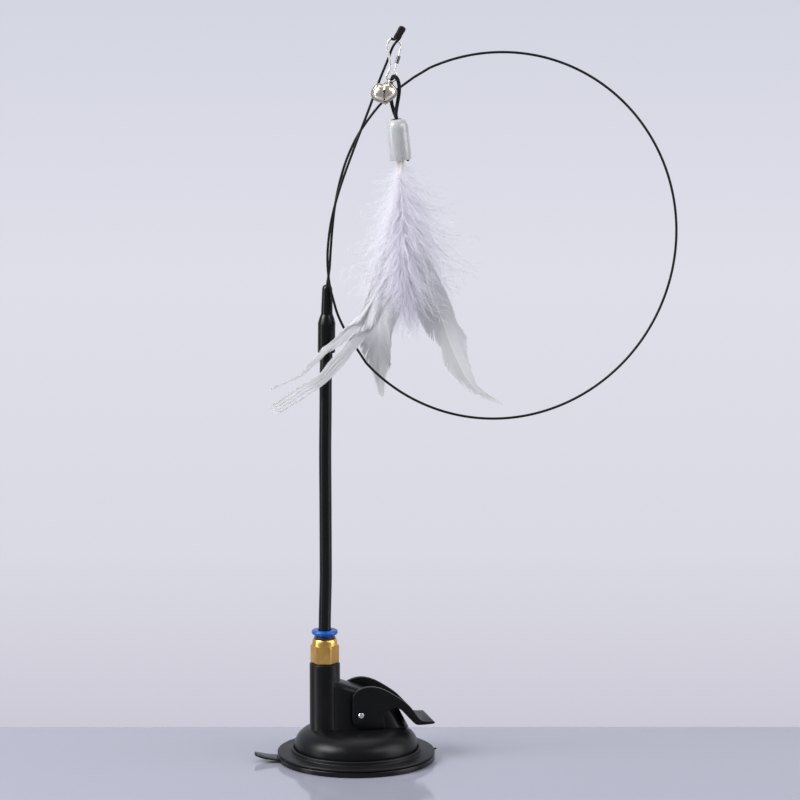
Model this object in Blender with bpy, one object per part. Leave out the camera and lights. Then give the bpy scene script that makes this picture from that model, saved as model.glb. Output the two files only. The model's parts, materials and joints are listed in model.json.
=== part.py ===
"""A cat teaser on a suction cup: a lever-locked suction base holds a push-in tube fitting, the fitting
holds a plastic rod, and a springy coated wire leaves the rod's boot, goes once round in a big ring and
ends in a crimped sleeve, where a clip, a heart bell and a bunch of feathers hang.

Frame: metres, +Z up. The origin is where the rod's axis meets the surface under the pads, and +X points
from the rod to the lever's handle. The wire, the ring and the feathers lie in a plane that is turned a
little about Z, so they are modelled in a turned assembly frame: u across the ring, v behind it, z up.
"""

import math

import bmesh
import bpy
from mathutils import Matrix, Vector

# Clearances and mesh tolerances
SEAT_GAP = 0.0003
CUT_OVERRUN = 0.002
WELD = 0.000001
SMOOTH_ANGLE = math.radians(35)

# Pads, about the pad's own centre
ROD_TO_PAD = 0.0155
PAD_RADIUS = 0.03837
GEL_THICKNESS = 0.0026
GEL_EDGE = 0.0007
DIMPLE_HEIGHT = 0.0028
DIMPLE_ROOF_RADIUS = 0.0085
DIMPLE_RADIUS = 0.0132
DIMPLE_WALL = 0.0017
TAB_HALF_WIDTH = 0.0058
TAB_TIP_HALF_WIDTH = 0.0042
TAB_LENGTH = 0.01143
TAB_OVERLAP = 0.00287
TAB_THICKNESS = 0.0012
TAB_LIFT = 0.0009
TAB_CURL = 0.0024
TAB_ANGLE = math.radians(174)
PAD_FLANGE = 0.0012
STEP_RADIUS = 0.0317
STEP_TOP = 0.0061
STEP_WALL = 0.0014
PAD_FLOOR = 0.0049
BOSS_RADIUS = 0.0118
BOSS_LIP = 0.0010
FOOT_COVER = 0.0020

# Base housing
DOME_RADIUS = 0.0300
DOME_TOP = 0.0167
DOME_CREST = 0.0170
DOME_SKIRT = 0.0075
DOME_WALL = 0.0020
WALL_SINK = 0.0017
TOWER_RADIUS = 0.0074
TOWER_TOP = 0.04874
TOWER_EDGE = 0.0005
BODY_HALF_WIDTH = 0.0088
BODY_START = 0.0085
BODY_END = 0.0415
BODY_END_LEAN = 0.53
BODY_TOP = 0.0383
BODY_TOP_AT = 0.0102
BODY_SLOPE = math.tan(math.radians(20))
BODY_ROUNDING = 0.0034
THREAD_RADIUS = 0.00485
THREAD_DEPTH = 0.0104
THREAD_EDGE = 0.0006

# Plunger and lever
PIN_HEIGHT = 0.0240
PIN_RADIUS = 0.00145
PIN_PROUD = 0.0002
PIN_EDGE = 0.00025
PLUNGER_TRAVEL = 0.0028
STEM_RADIUS = 0.0050
STEM_ABOVE_PIN = 0.0045
STEM_EDGE = 0.0008
FOOT_RADIUS = 0.0092
FOOT_THICKNESS = 0.0016
LEVER_HALF_WIDTH = 0.0118
ARM_THICKNESS = 0.0024
LEVER_LENGTH = 0.0369
LEVER_CREST = 0.0140
LEVER_WEB_START = 0.0235
LEVER_ROUNDING = 0.0006
CAM_HEIGHT = 0.0070

# Push-in fitting, on the rod's axis
HEX_FLATS = 0.0121
HEX_HEIGHT = 0.0086
HEX_TURN = math.radians(-18.6)
HEX_CHAMFER = 0.0007
SHOULDER_RADIUS = 0.0062
SHOULDER_HEIGHT = 0.0032
SHOULDER_TOP_RADIUS = 0.0054
AIR_HOLE_RADIUS = 0.0020
ROD_STOP = 0.0013
SEAL_SEAT = 0.0047
GRIP_SEAT = 0.0071
SEAL_BORE_RADIUS = 0.0043
FITTING_BORE_RADIUS = 0.00485
SEAL_WIRE = 0.0007
GRIP_THICKNESS = 0.0004
GRIP_RADIUS = 0.0046
GRIP_TEETH = 8
GUIDE_WALL = 0.00035
GUIDE_LIP_RADIUS = 0.0052
GUIDE_LIP = 0.0005
COLLAR_WALL = 0.0006
COLLAR_RADIUS = 0.00637
COLLAR_THICKNESS = 0.0021
COLLAR_TRAVEL = 0.0010
COLLAR_EDGE = 0.0008

# Rod, boot and ferrule
ROD_RADIUS = 0.0030
ROD_BORE_RADIUS = 0.00195
ROD_TOP = 0.2140
ROD_BOW = 0.0017
BOOT_OVERLAP = 0.0129
BOOT_ABOVE_ROD = 0.0199
BOOT_RADIUS = 0.0042
BOOT_NECK_RADIUS = 0.0029
BOOT_TIP_RADIUS = 0.00245
BOOT_SHOULDER = 0.0034
BOOT_EDGE = 0.0008
FERRULE_RADIUS = 0.0016
FERRULE_IN_ROD = 0.0090
FERRULE_BELOW_TIP = 0.0040

# Coated spring wire
FRAME_TURN = math.radians(-13.3)
WIRE_RADIUS = 0.0006
WIRE_GRIP = 0.0060
RING_RADIUS = 0.08641
STRAND_CLEARANCE = 0.0008
SLEEVE_LENGTH = 0.0063
SLEEVE_WALL = 0.00035
SLEEVE_LEAN = math.radians(24)
SLEEVE_TURN = math.radians(28)
EYE_RADIUS = 0.0008
STUB_LENGTH = 0.0016

# Clip, bell, cord loop and cap
CLIP_WIRE = 0.0004
CLIP_LENGTH = 0.0200
CLIP_WIDTH = 0.0064
CATCH_WALL = 0.00025
BELL_WIDTH = 0.0126
BELL_HEIGHT = 0.0108
BELL_DEPTH = 0.0034
BELL_SHEET = 0.0004
BELL_FLANGE = 0.0004
BELL_TILT = math.radians(9)
SLIT_WIDTH = 0.0008
CLAPPER_RADIUS = 0.0015
LINK_RADIUS = 0.0015
LINK_WIRE = 0.0003
CORD_RADIUS = 0.00095
CORD_REACH = 0.0197
CAP_LENGTH = 0.0194
CAP_TOP_RADIUS = 0.0052
CAP_MOUTH_RADIUS = 0.00545
CAP_DOME = 0.0044
CAP_WALL = 0.0010
CAP_MOUTH_DEPTH = 0.0040
CAP_LEAN = math.radians(5.6)

# Feathers
QUILL_RADIUS = 0.0005
QUILL_IN_CAP = 0.0100
QUILL_CIRCLE = 0.00145
VANE_THICKNESS = 0.0005
VANE_EDGE = 0.0003
FEATHER_LENGTH = 0.1100
PLUME_LENGTH = 0.0800
PLUME_THICKNESS = 0.0010

# Numbers of facets
PAD_SIDES = 48
SHAFT_SIDES = 24
SMALL_SIDES = 16
WIRE_RESOLUTION = 2


def worked_out_sizes():
    """The few sizes that follow from the ones above and that several pieces share."""
    sizes = {}
    sizes["foot_bottom"] = DIMPLE_HEIGHT + 2 * DIMPLE_WALL + 2 * SEAT_GAP
    sizes["hex_bottom"] = TOWER_TOP + SEAT_GAP
    sizes["hex_top"] = sizes["hex_bottom"] + HEX_HEIGHT
    sizes["fitting_top"] = sizes["hex_top"] + SHOULDER_HEIGHT
    sizes["rod_stop"] = sizes["hex_bottom"] + ROD_STOP
    sizes["rod_bottom"] = sizes["rod_stop"] + SEAT_GAP
    sizes["grip_seat"] = sizes["hex_bottom"] + GRIP_SEAT
    sizes["lip_top"] = sizes["fitting_top"] + SEAT_GAP + GUIDE_LIP
    sizes["boot_bottom"] = ROD_TOP - BOOT_OVERLAP
    sizes["boot_top"] = ROD_TOP + BOOT_ABOVE_ROD
    sizes["sleeve_radius"] = ROD_RADIUS + SEAT_GAP + COLLAR_WALL
    sizes["strand_step"] = 2 * WIRE_RADIUS + STRAND_CLEARANCE
    return sizes


SIZES = worked_out_sizes()


def clear_scene():
    for obj in list(bpy.data.objects):
        bpy.data.objects.remove(obj)


def material(name, color, roughness, metallic=0.0, alpha=1.0):
    made = bpy.data.materials.new(name)
    made.use_nodes = True
    shader = made.node_tree.nodes["Principled BSDF"]
    shader.inputs["Base Color"].default_value = (*color, 1.0)
    shader.inputs["Roughness"].default_value = roughness
    shader.inputs["Metallic"].default_value = metallic
    shader.inputs["Alpha"].default_value = alpha
    return made


def add_empty(name, location, parent=None, turn=0.0):
    """A pivot or an assembly frame."""
    empty = bpy.data.objects.new(name, None)
    bpy.context.scene.collection.objects.link(empty)
    empty.parent = parent
    empty.location = location
    empty.rotation_euler = (0.0, 0.0, turn)
    return empty


def add_object(name, data, finish, pivot=None, at=(0.0, 0.0, 0.0), turn=(0.0, 0.0, 0.0)):
    """Adds a piece whose place is given in its assembly's frame, and hangs it on its pivot."""
    obj = bpy.data.objects.new(name, data)
    bpy.context.scene.collection.objects.link(obj)
    if finish is not None:
        data.materials.append(finish)
    obj.location = at
    obj.rotation_euler = turn
    if pivot is not None:
        obj.parent = pivot
        obj.location = Vector(at) - pivot.location
    if isinstance(data, bpy.types.Mesh):
        data.shade_smooth()
        data.set_sharp_from_angle(angle=SMOOTH_ANGLE)
    return obj


def make_guide(obj):
    """Keeps a cutter or a joining shape out of the model."""
    obj.hide_render = True
    obj.display_type = "WIRE"


def combine(target, other, operation):
    make_guide(other)
    modifier = target.modifiers.new(other.name, "BOOLEAN")
    modifier.solver = "EXACT"
    modifier.operation = operation
    modifier.object = other


def cut(target, cutter):
    combine(target, cutter, "DIFFERENCE")


def join(target, other):
    combine(target, other, "UNION")


def finished_mesh(name, bm):
    bmesh.ops.remove_doubles(bm, verts=bm.verts, dist=WELD)
    bmesh.ops.recalc_face_normals(bm, faces=bm.faces)
    mesh = bpy.data.meshes.new(name)
    bm.to_mesh(mesh)
    bm.free()
    return mesh


def turned(name, outline, sides=SHAFT_SIDES, centre=(0.0, 0.0)):
    """Spins (radius, height) points about a vertical axis; an outline off the axis is closed first."""
    bm = bmesh.new()
    verts = [bm.verts.new((centre[0] + radius, centre[1], height)) for radius, height in outline]
    edges = [bm.edges.new(pair) for pair in zip(verts, verts[1:])]
    if outline[0][0] > 0 or outline[-1][0] > 0:
        edges.append(bm.edges.new((verts[-1], verts[0])))
    bmesh.ops.spin(bm, geom=verts + edges, cent=(*centre, 0.0), axis=(0.0, 0.0, 1.0),
                   angle=math.tau, steps=sides, use_merge=True)
    return finished_mesh(name, bm)


def prism(name, outline, start, end):
    """Extrudes an outline of (x, z) points along y."""
    bm = bmesh.new()
    face = bm.faces.new([bm.verts.new((x, start, z)) for x, z in outline])
    extruded = bmesh.ops.extrude_face_region(bm, geom=[face])["geom"]
    moved = [item for item in extruded if isinstance(item, bmesh.types.BMVert)]
    bmesh.ops.translate(bm, verts=moved, vec=(0.0, end - start, 0.0))
    return finished_mesh(name, bm)


def loft(name, loops):
    """Joins loops of equal counts in order and caps both ends."""
    bm = bmesh.new()
    rows = [[bm.verts.new(point) for point in loop] for loop in loops]
    for row, following in zip(rows, rows[1:]):
        for i in range(len(row)):
            j = (i + 1) % len(row)
            bm.faces.new((row[i], row[j], following[j], following[i]))
    bm.faces.new(list(reversed(rows[0])))
    bm.faces.new(rows[-1])
    return finished_mesh(name, bm)


def arc(centre, radii, start_degrees, end_degrees, steps):
    """Points on an elliptical arc, both ends included."""
    points = []
    for i in range(steps + 1):
        angle = math.radians(start_degrees + (end_degrees - start_degrees) * i / steps)
        points.append((centre[0] + radii[0] * math.cos(angle), centre[1] + radii[1] * math.sin(angle)))
    return points


def curve_through(points, steps):
    """A smooth curve through the given points, read off at equal parts of each span."""
    known = [Vector(point) for point in points]
    padded = [2 * known[0] - known[1], *known, 2 * known[-1] - known[-2]]
    found = []
    for before, start, end, after in zip(padded, padded[1:], padded[2:], padded[3:]):
        for i in range(steps):
            t = i / steps
            found.append(0.5 * (2 * start + (end - before) * t
                                + (2 * before - 5 * start + 4 * end - after) * t ** 2
                                + (3 * start - before - 3 * end + after) * t ** 3))
    found.append(known[-1])
    return found


def even_path(points, spacing):
    """Reads a path off again at an even spacing."""
    lengths = [0.0]
    for start, end in zip(points, points[1:]):
        lengths.append(lengths[-1] + (end - start).length)
    count = max(2, round(lengths[-1] / spacing))
    even = []
    span = 0
    for i in range(count + 1):
        wanted = lengths[-1] * i / count
        while span < len(points) - 2 and lengths[span + 1] < wanted:
            span += 1
        share = (wanted - lengths[span]) / (lengths[span + 1] - lengths[span])
        even.append(points[span].lerp(points[span + 1], min(share, 1.0)))
    return even


def round_wire(name, points, radius, cyclic=False, resolution=WIRE_RESOLUTION):
    curve = bpy.data.curves.new(name, "CURVE")
    curve.dimensions = "3D"
    curve.bevel_depth = radius
    curve.bevel_resolution = resolution
    curve.use_fill_caps = not cyclic
    spline = curve.splines.new("POLY")
    spline.points.add(len(points) - 1)
    for point, place in zip(spline.points, points):
        point.co = (*place, 1.0)
    spline.use_cyclic_u = cyclic
    return curve


def bow_at(height):
    """How far the rod's centre line lies sideways of its straight axis at a height."""
    bow_shares = [(0.0, 0.0), (0.08, 0.02), (0.24, 0.36), (0.40, 0.34), (0.54, 0.29),
                  (0.72, 0.47), (0.87, 0.80), (1.0, 1.0), (1.3, 1.5)]
    along = (height - SIZES["rod_bottom"]) / (SIZES["boot_top"] - SIZES["rod_bottom"])
    along = min(max(along, 0.0), bow_shares[-1][0])
    for (start, low), (end, high) in zip(bow_shares, bow_shares[1:]):
        if along <= end:
            t = (along - start) / (end - start)
            return ROD_BOW * (low + (high - low) * t * t * (3 - 2 * t))
    return ROD_BOW


def bow(mesh):
    """Bends a piece that is turned about the rod's axis to the rod's slight bow."""
    for vertex in mesh.vertices:
        vertex.co.x += bow_at(vertex.co.z)
    return mesh


def heights(start, end, steps):
    return [start + (end - start) * i / steps for i in range(steps + 1)]


# Pads


def dimple_outline():
    """The lifted middle of the gel pad's underside, from its roof out to where the pad lies flat."""
    return [(0.0, DIMPLE_HEIGHT), (DIMPLE_ROOF_RADIUS, DIMPLE_HEIGHT),
            ((DIMPLE_ROOF_RADIUS + DIMPLE_RADIUS) / 2, DIMPLE_HEIGHT / 2), (DIMPLE_RADIUS, 0.0)]


def crown_outline(base, roof):
    """The top face over the dimple, from the flat ring in to the axis."""
    outer = DIMPLE_RADIUS + DIMPLE_HEIGHT
    inner = DIMPLE_ROOF_RADIUS + DIMPLE_WALL
    return [(outer, base), ((outer + inner) / 2, (base + roof) / 2), (inner, roof), (0.0, roof)]


def tab_mesh():
    """The rounded pull tongue, lofted outwards from inside the pad's edge and curling up a little."""
    steps = 9
    blunt_share = 0.22
    root = PAD_RADIUS - TAB_OVERLAP
    tip = PAD_RADIUS + TAB_LENGTH
    loops = []
    for i in range(steps + 1):
        along = i / steps
        reach = root + (tip - root) * along
        to_tip = max(tip - reach, 0.0)
        rounding = min(to_tip / TAB_TIP_HALF_WIDTH, 1.0)
        half = TAB_HALF_WIDTH + (TAB_TIP_HALF_WIDTH - TAB_HALF_WIDTH) * along
        half *= max(math.sqrt(1 - (1 - rounding) ** 2), blunt_share)
        low = TAB_LIFT + TAB_CURL * along ** 2
        top = low + TAB_THICKNESS
        edge = TAB_THICKNESS / 4
        loops.append([(reach, -half, low + edge), (reach, -half + edge, low), (reach, half - edge, low),
                      (reach, half, low + edge), (reach, half, top - edge), (reach, half - edge, top),
                      (reach, -half + edge, top), (reach, -half, top - edge)])
    mesh = loft("gel_pad_tab", loops)
    turn = Matrix.Translation((ROD_TO_PAD, 0.0, 0.0)) @ Matrix.Rotation(TAB_ANGLE, 4, "Z")
    mesh.transform(turn)
    return mesh


def gel_pad(finish):
    roof = DIMPLE_HEIGHT + DIMPLE_WALL
    rim = PAD_RADIUS - GEL_EDGE
    outline = dimple_outline()
    outline += [(rim, 0.0), (PAD_RADIUS, GEL_EDGE), (PAD_RADIUS, GEL_THICKNESS - GEL_EDGE),
                (rim, GEL_THICKNESS)]
    outline += crown_outline(GEL_THICKNESS, roof)
    mesh = turned("gel_pad", outline, PAD_SIDES, (ROD_TO_PAD, 0.0))
    pad = add_object("gel_pad", mesh, finish)
    join(pad, add_object("gel_pad_tab", tab_mesh(), None))
    return pad


def suction_pad(finish):
    """The upper rubber pad: a flange, a step round the dome's foot and a boss over the plunger's foot."""
    under = GEL_THICKNESS + SEAT_GAP
    roof = DIMPLE_HEIGHT + DIMPLE_WALL + SEAT_GAP
    floor = roof + DIMPLE_WALL
    flange_top = under + PAD_FLANGE
    edge = PAD_FLANGE / 3
    foot_top = SIZES["foot_bottom"] + FOOT_THICKNESS
    lip_low = foot_top + SEAT_GAP
    pocket = FOOT_RADIUS + SEAT_GAP
    outline = list(reversed(crown_outline(under, roof)))
    outline += [(PAD_RADIUS - edge, under), (PAD_RADIUS, under + edge), (PAD_RADIUS, flange_top - edge),
                (PAD_RADIUS - edge, flange_top), (STEP_RADIUS + edge, flange_top),
                (STEP_RADIUS, flange_top + edge), (STEP_RADIUS, STEP_TOP - edge),
                (STEP_RADIUS - edge, STEP_TOP), (STEP_RADIUS - STEP_WALL, STEP_TOP),
                (STEP_RADIUS - STEP_WALL, PAD_FLOOR), (DIMPLE_RADIUS + FOOT_COVER, PAD_FLOOR),
                (BOSS_RADIUS, floor + edge), (BOSS_RADIUS, lip_low + BOSS_LIP - edge),
                (BOSS_RADIUS - edge, lip_low + BOSS_LIP), (pocket - FOOT_COVER, lip_low + BOSS_LIP),
                (pocket - FOOT_COVER, lip_low), (pocket, lip_low), (pocket, floor), (0.0, floor)]
    mesh = turned("suction_pad", outline, PAD_SIDES, (ROD_TO_PAD, 0.0))
    return add_object("suction_pad", mesh, finish)


# Base housing


def dome_outline():
    """Section of the domed shell: outside from the foot up to the crown, then back down inside."""
    foot = PAD_FLOOR + SEAT_GAP
    outer = arc((DOME_CREST, DOME_SKIRT), (DOME_RADIUS - DOME_CREST, DOME_TOP - DOME_SKIRT), 0, 90, 8)
    inside = (DOME_RADIUS - DOME_CREST - DOME_WALL, DOME_TOP - DOME_SKIRT - DOME_WALL)
    inner = arc((DOME_CREST, DOME_SKIRT), inside, 90, 0, 5)
    return [(DOME_RADIUS, foot), *outer, (0.0, DOME_TOP), (0.0, DOME_TOP - DOME_WALL), *inner,
            (DOME_RADIUS - DOME_WALL, foot)]


def body_plan(end):
    """Plan of the lever body: a stadium from inside the tower to its far round end."""
    steps = 10
    left = arc((BODY_START, 0.0), (BODY_HALF_WIDTH, BODY_HALF_WIDTH), 90, 270, steps)
    right = arc((end - BODY_HALF_WIDTH, 0.0), (BODY_HALF_WIDTH, BODY_HALF_WIDTH), -90, 90, steps)
    return [(x, y, 0.0) for x, y in left] + [(x, y, 1.0) for x, y in right]


def body_mesh():
    """The lever body: upright at the tower, leaning back at its far end, with a sloping rounded top."""
    low = DOME_TOP - WALL_SINK
    bm = bmesh.new()
    plan = body_plan(BODY_END)
    bottom = [bm.verts.new((x, y, low)) for x, y, leaning in plan]
    top = []
    for x, y, leaning in plan:
        lean = BODY_END_LEAN * leaning
        rise = (BODY_TOP - BODY_SLOPE * (x - BODY_TOP_AT) - low) / (1 - BODY_SLOPE * lean)
        top.append(bm.verts.new((x - lean * rise, y, low + rise)))
    count = len(plan)
    for i in range(count):
        j = (i + 1) % count
        bm.faces.new((bottom[i], bottom[j], top[j], top[i]))
    bm.faces.new(list(reversed(bottom)))
    lid = bm.faces.new(top)
    bmesh.ops.recalc_face_normals(bm, faces=bm.faces)
    bmesh.ops.bevel(bm, geom=list(lid.edges), offset=BODY_ROUNDING, segments=4, profile=0.5,
                    affect="EDGES")
    return finished_mesh("body", bm)


def base_housing(finish):
    """Domed foot, rod tower and lever body, moulded in one, with its bores cut."""
    base = add_object("base_housing", turned("base_housing", dome_outline(), PAD_SIDES,
                                             (ROD_TO_PAD, 0.0)), finish)
    low = DOME_TOP - WALL_SINK
    tower_outline = [(0.0, low), (TOWER_RADIUS, low), (TOWER_RADIUS, TOWER_TOP - TOWER_EDGE),
                     (TOWER_RADIUS - TOWER_EDGE, TOWER_TOP), (0.0, TOWER_TOP)]
    join(base, add_object("tower", turned("tower", tower_outline, 32), None))
    join(base, add_object("lever_body", body_mesh(), None))

    bore = THREAD_RADIUS + SEAT_GAP
    thread_outline = [(0.0, TOWER_TOP - THREAD_DEPTH), (bore, TOWER_TOP - THREAD_DEPTH),
                      (bore, TOWER_TOP + CUT_OVERRUN), (0.0, TOWER_TOP + CUT_OVERRUN)]
    cut(base, add_object("thread_bore", turned("thread_bore", thread_outline), None))

    stem = STEM_RADIUS + SEAT_GAP
    stem_top = PIN_HEIGHT + STEM_ABOVE_PIN + STEM_EDGE + SEAT_GAP
    start = DOME_TOP - DOME_WALL - CUT_OVERRUN
    stem_outline = [(0.0, start), (stem, start), (stem, stem_top), (0.0, stem_top)]
    cut(base, add_object("stem_bore", turned("stem_bore", stem_outline, SHAFT_SIDES,
                                             (ROD_TO_PAD, 0.0)), None))

    half = PIN_RADIUS + SEAT_GAP
    slot_outline = arc((ROD_TO_PAD, PIN_HEIGHT), (half, half), 0, 180, 8)
    slot_outline += arc((ROD_TO_PAD, PIN_HEIGHT - PLUNGER_TRAVEL), (half, half), 180, 360, 8)
    across = BODY_HALF_WIDTH + CUT_OVERRUN
    cut(base, add_object("pin_slot", prism("pin_slot", slot_outline, -across, across), None))
    return base


# Plunger, pin and lever


def plunger(finish):
    """Round stem on a flat foot; the lever's cheeks pull it up by the pin through its cross hole."""
    foot = SIZES["foot_bottom"]
    top = PIN_HEIGHT + STEM_ABOVE_PIN
    outline = [(0.0, foot), (FOOT_RADIUS, foot), (FOOT_RADIUS, foot + FOOT_THICKNESS),
               (STEM_RADIUS + FOOT_THICKNESS / 2, foot + FOOT_THICKNESS),
               (STEM_RADIUS, foot + FOOT_THICKNESS * 1.5), (STEM_RADIUS, top - STEM_EDGE),
               (STEM_RADIUS - STEM_EDGE, top), (0.0, top)]
    body = add_object("plunger", turned("plunger", outline, SHAFT_SIDES, (ROD_TO_PAD, 0.0)), finish)
    hole = PIN_RADIUS + SEAT_GAP
    across = STEM_RADIUS + CUT_OVERRUN
    hole_outline = arc((ROD_TO_PAD, PIN_HEIGHT), (hole, hole), 0, 337.5, 15)
    cut(body, add_object("cross_hole", prism("cross_hole", hole_outline, -across, across), None))
    return body


def lever_pin(finish):
    """Rivet-like pin with chamfered ends, each with the small dimple of a spun head."""
    half = LEVER_HALF_WIDTH + PIN_PROUD
    dimple = PIN_RADIUS / 3
    outline = [(0.0, -half + dimple / 2), (dimple, -half), (PIN_RADIUS - PIN_EDGE, -half),
               (PIN_RADIUS, -half + PIN_EDGE), (PIN_RADIUS, half - PIN_EDGE),
               (PIN_RADIUS - PIN_EDGE, half), (dimple, half), (0.0, half - dimple / 2)]
    mesh = turned("lever_pin", outline, SMALL_SIDES)
    return add_object("lever_pin", mesh, finish, at=(ROD_TO_PAD, 0.0, PIN_HEIGHT),
                      turn=(math.pi / 2, 0.0, 0.0))


def cam_outline():
    """The cheek's lower corner, from its flat bottom round to its flat end.

    Its distance from the pin falls evenly with the lever's angle, so the plunger drops evenly too.
    """
    fall = PLUNGER_TRAVEL / (math.pi / 2)
    steps = 8
    points = []
    for i in range(steps + 1):
        angle = math.pi / 2 * i / steps
        height = CAM_HEIGHT - fall * angle
        points.append((-height * math.sin(angle) + fall * math.cos(angle),
                       -height * math.cos(angle) - fall * math.sin(angle)))
    return points


def lever_outline():
    """Side outline about the pin: hump, sloping back, flat handle, hooked underside and cam corner."""
    crest_shares = [(-0.112, 0.73), (-0.043, 0.90), (0.065, 0.993), (0.179, 0.993), (0.320, 0.871),
                    (0.488, 0.60), (0.618, 0.343), (0.696, 0.114), (0.764, -0.15), (0.842, -0.321),
                    (0.981, -0.343)]
    under_shares = [(1.0, -0.386), (0.965, -0.436), (0.791, -0.45), (0.732, -0.407), (0.678, -0.271),
                    (0.604, -0.046), (0.531, 0.143), (0.461, 0.207), (0.396, 0.171), (0.336, 0.057),
                    (0.304, -0.114), (0.314, -0.35)]
    heel_share = 0.60
    crest = curve_through([(x * LEVER_LENGTH, z * LEVER_CREST, 0.0) for x, z in crest_shares], 2)
    under = curve_through([(x * LEVER_LENGTH, z * LEVER_CREST, 0.0) for x, z in under_shares], 2)
    points = [(point.x, point.y) for point in crest + under]
    points.append((under[-1].x, -CAM_HEIGHT))
    cam = cam_outline()
    points += cam
    points.append((cam[-1][0], LEVER_CREST * heel_share))
    return points


def lever(finish, pivot):
    """Two cheeks with cam corners, joined by a web that carries the handle."""
    mesh = prism("lever", lever_outline(), -LEVER_HALF_WIDTH, LEVER_HALF_WIDTH)
    arm = add_object("lever", mesh, finish, pivot, at=pivot.location)
    inner = LEVER_HALF_WIDTH - ARM_THICKNESS
    reach = 2 * LEVER_CREST
    channel_outline = [(-LEVER_CREST, -reach), (LEVER_WEB_START, -reach), (LEVER_WEB_START, reach),
                       (-LEVER_CREST, reach)]
    channel = add_object("channel", prism("channel", channel_outline, -inner, inner), None, pivot,
                         at=pivot.location)
    cut(arm, channel)
    hole = PIN_RADIUS + SEAT_GAP
    hole_outline = arc((0.0, 0.0), (hole, hole), 0, 337.5, 15)
    across = LEVER_HALF_WIDTH + CUT_OVERRUN
    cut(arm, add_object("pin_hole", prism("pin_hole", hole_outline, -across, across), None, pivot,
                        at=pivot.location))
    return arm


# Push-in fitting


def fitting_body(finish):
    """Brass body: threaded stub, hexagon, domed shoulder and the stepped bore for seal, grip and guide."""
    low = TOWER_TOP - THREAD_DEPTH + 2 * SEAT_GAP
    bottom = SIZES["hex_bottom"]
    hex_top = SIZES["hex_top"]
    top = SIZES["fitting_top"]
    core = HEX_FLATS / 2 - HEX_CHAMFER
    dome = arc((SHOULDER_TOP_RADIUS, hex_top), (SHOULDER_RADIUS - SHOULDER_TOP_RADIUS,
                                                SHOULDER_HEIGHT), 0, 90, 5)
    outline = [(0.0, low), (THREAD_RADIUS - THREAD_EDGE, low), (THREAD_RADIUS, low + THREAD_EDGE),
               (THREAD_RADIUS, bottom + HEX_CHAMFER), (core, bottom + HEX_CHAMFER),
               (core, hex_top - HEX_CHAMFER), *dome, (0.0, top)]
    body = add_object("fitting_body", turned("fitting_body", outline), finish)
    join(body, hexagon(bottom, hex_top))

    grip_seat = SIZES["grip_seat"]
    seal_seat = bottom + SEAL_SEAT
    stop = SIZES["rod_stop"]
    bore = ROD_RADIUS + SEAT_GAP
    bore_outline = [(0.0, low - CUT_OVERRUN), (AIR_HOLE_RADIUS, low - CUT_OVERRUN),
                    (AIR_HOLE_RADIUS, stop), (bore, stop), (bore, seal_seat),
                    (SEAL_BORE_RADIUS, seal_seat), (SEAL_BORE_RADIUS, grip_seat),
                    (FITTING_BORE_RADIUS, grip_seat), (FITTING_BORE_RADIUS, top + CUT_OVERRUN),
                    (0.0, top + CUT_OVERRUN)]
    cut(body, add_object("stepped_bore", turned("stepped_bore", bore_outline), None))
    return body


def hexagon(bottom, top):
    """The spanner hexagon, whose corners are chamfered by a turned limit."""
    corner = HEX_FLATS / math.sqrt(3)
    loops = [[(corner * math.cos(HEX_TURN + math.radians(60 * i)),
               corner * math.sin(HEX_TURN + math.radians(60 * i)), height) for i in range(6)]
             for height in (bottom, top)]
    nut = add_object("hexagon", loft("hexagon", loops), None)
    waist = HEX_FLATS / 2
    wide = corner + HEX_CHAMFER
    limit_outline = [(0.0, bottom - HEX_CHAMFER), (waist, bottom - HEX_CHAMFER / 2),
                     (wide, bottom + HEX_CHAMFER), (wide, top - HEX_CHAMFER),
                     (waist, top + HEX_CHAMFER / 2), (0.0, top + HEX_CHAMFER)]
    limit = add_object("hexagon_limit", turned("hexagon_limit", limit_outline), None)
    combine(nut, limit, "INTERSECT")
    return nut


def seal_ring(finish):
    """The rubber ring that seals on the rod, under the grip ring."""
    wire = SEAL_WIRE / 2
    centre = (ROD_RADIUS + SEAT_GAP + wire, SIZES["hex_bottom"] + SEAL_SEAT + SEAT_GAP + wire)
    outline = arc(centre, (wire, wire), 0, 315, 7)
    return add_object("seal_ring", turned("seal_ring", outline, 20), finish)


def grip_ring(finish, pivot):
    """Spring-steel washer whose teeth bite the rod."""
    low = SIZES["grip_seat"] + SEAT_GAP
    tip = ROD_RADIUS + SEAT_GAP
    outline = [(tip, low), (GRIP_RADIUS, low), (GRIP_RADIUS, low + GRIP_THICKNESS),
               (tip, low + GRIP_THICKNESS)]
    ring = add_object("grip_ring", turned("grip_ring", outline, SHAFT_SIDES), finish, pivot)
    root = (tip + GRIP_RADIUS) / 2
    half = GRIP_THICKNESS / 2
    cutters = bmesh.new()
    for i in range(GRIP_TEETH):
        angle = math.tau * (i + 0.5) / GRIP_TEETH
        across = Vector((-math.sin(angle), math.cos(angle), 0.0)) * half
        along = Vector((math.cos(angle), math.sin(angle), 0.0))
        corners = []
        for height in (low - GRIP_THICKNESS, low + 2 * GRIP_THICKNESS):
            for reach, side in ((tip - half, -1), (root, -1), (root, 1), (tip - half, 1)):
                corners.append(cutters.verts.new(along * reach + across * side
                                                 + Vector((0.0, 0.0, height))))
        for face in ((3, 2, 1, 0), (4, 5, 6, 7), (0, 1, 5, 4), (1, 2, 6, 5), (2, 3, 7, 6), (3, 0, 4, 7)):
            cutters.faces.new([corners[k] for k in face])
    cut(ring, add_object("tooth_gaps", finished_mesh("tooth_gaps", cutters), None, pivot))
    return ring


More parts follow.
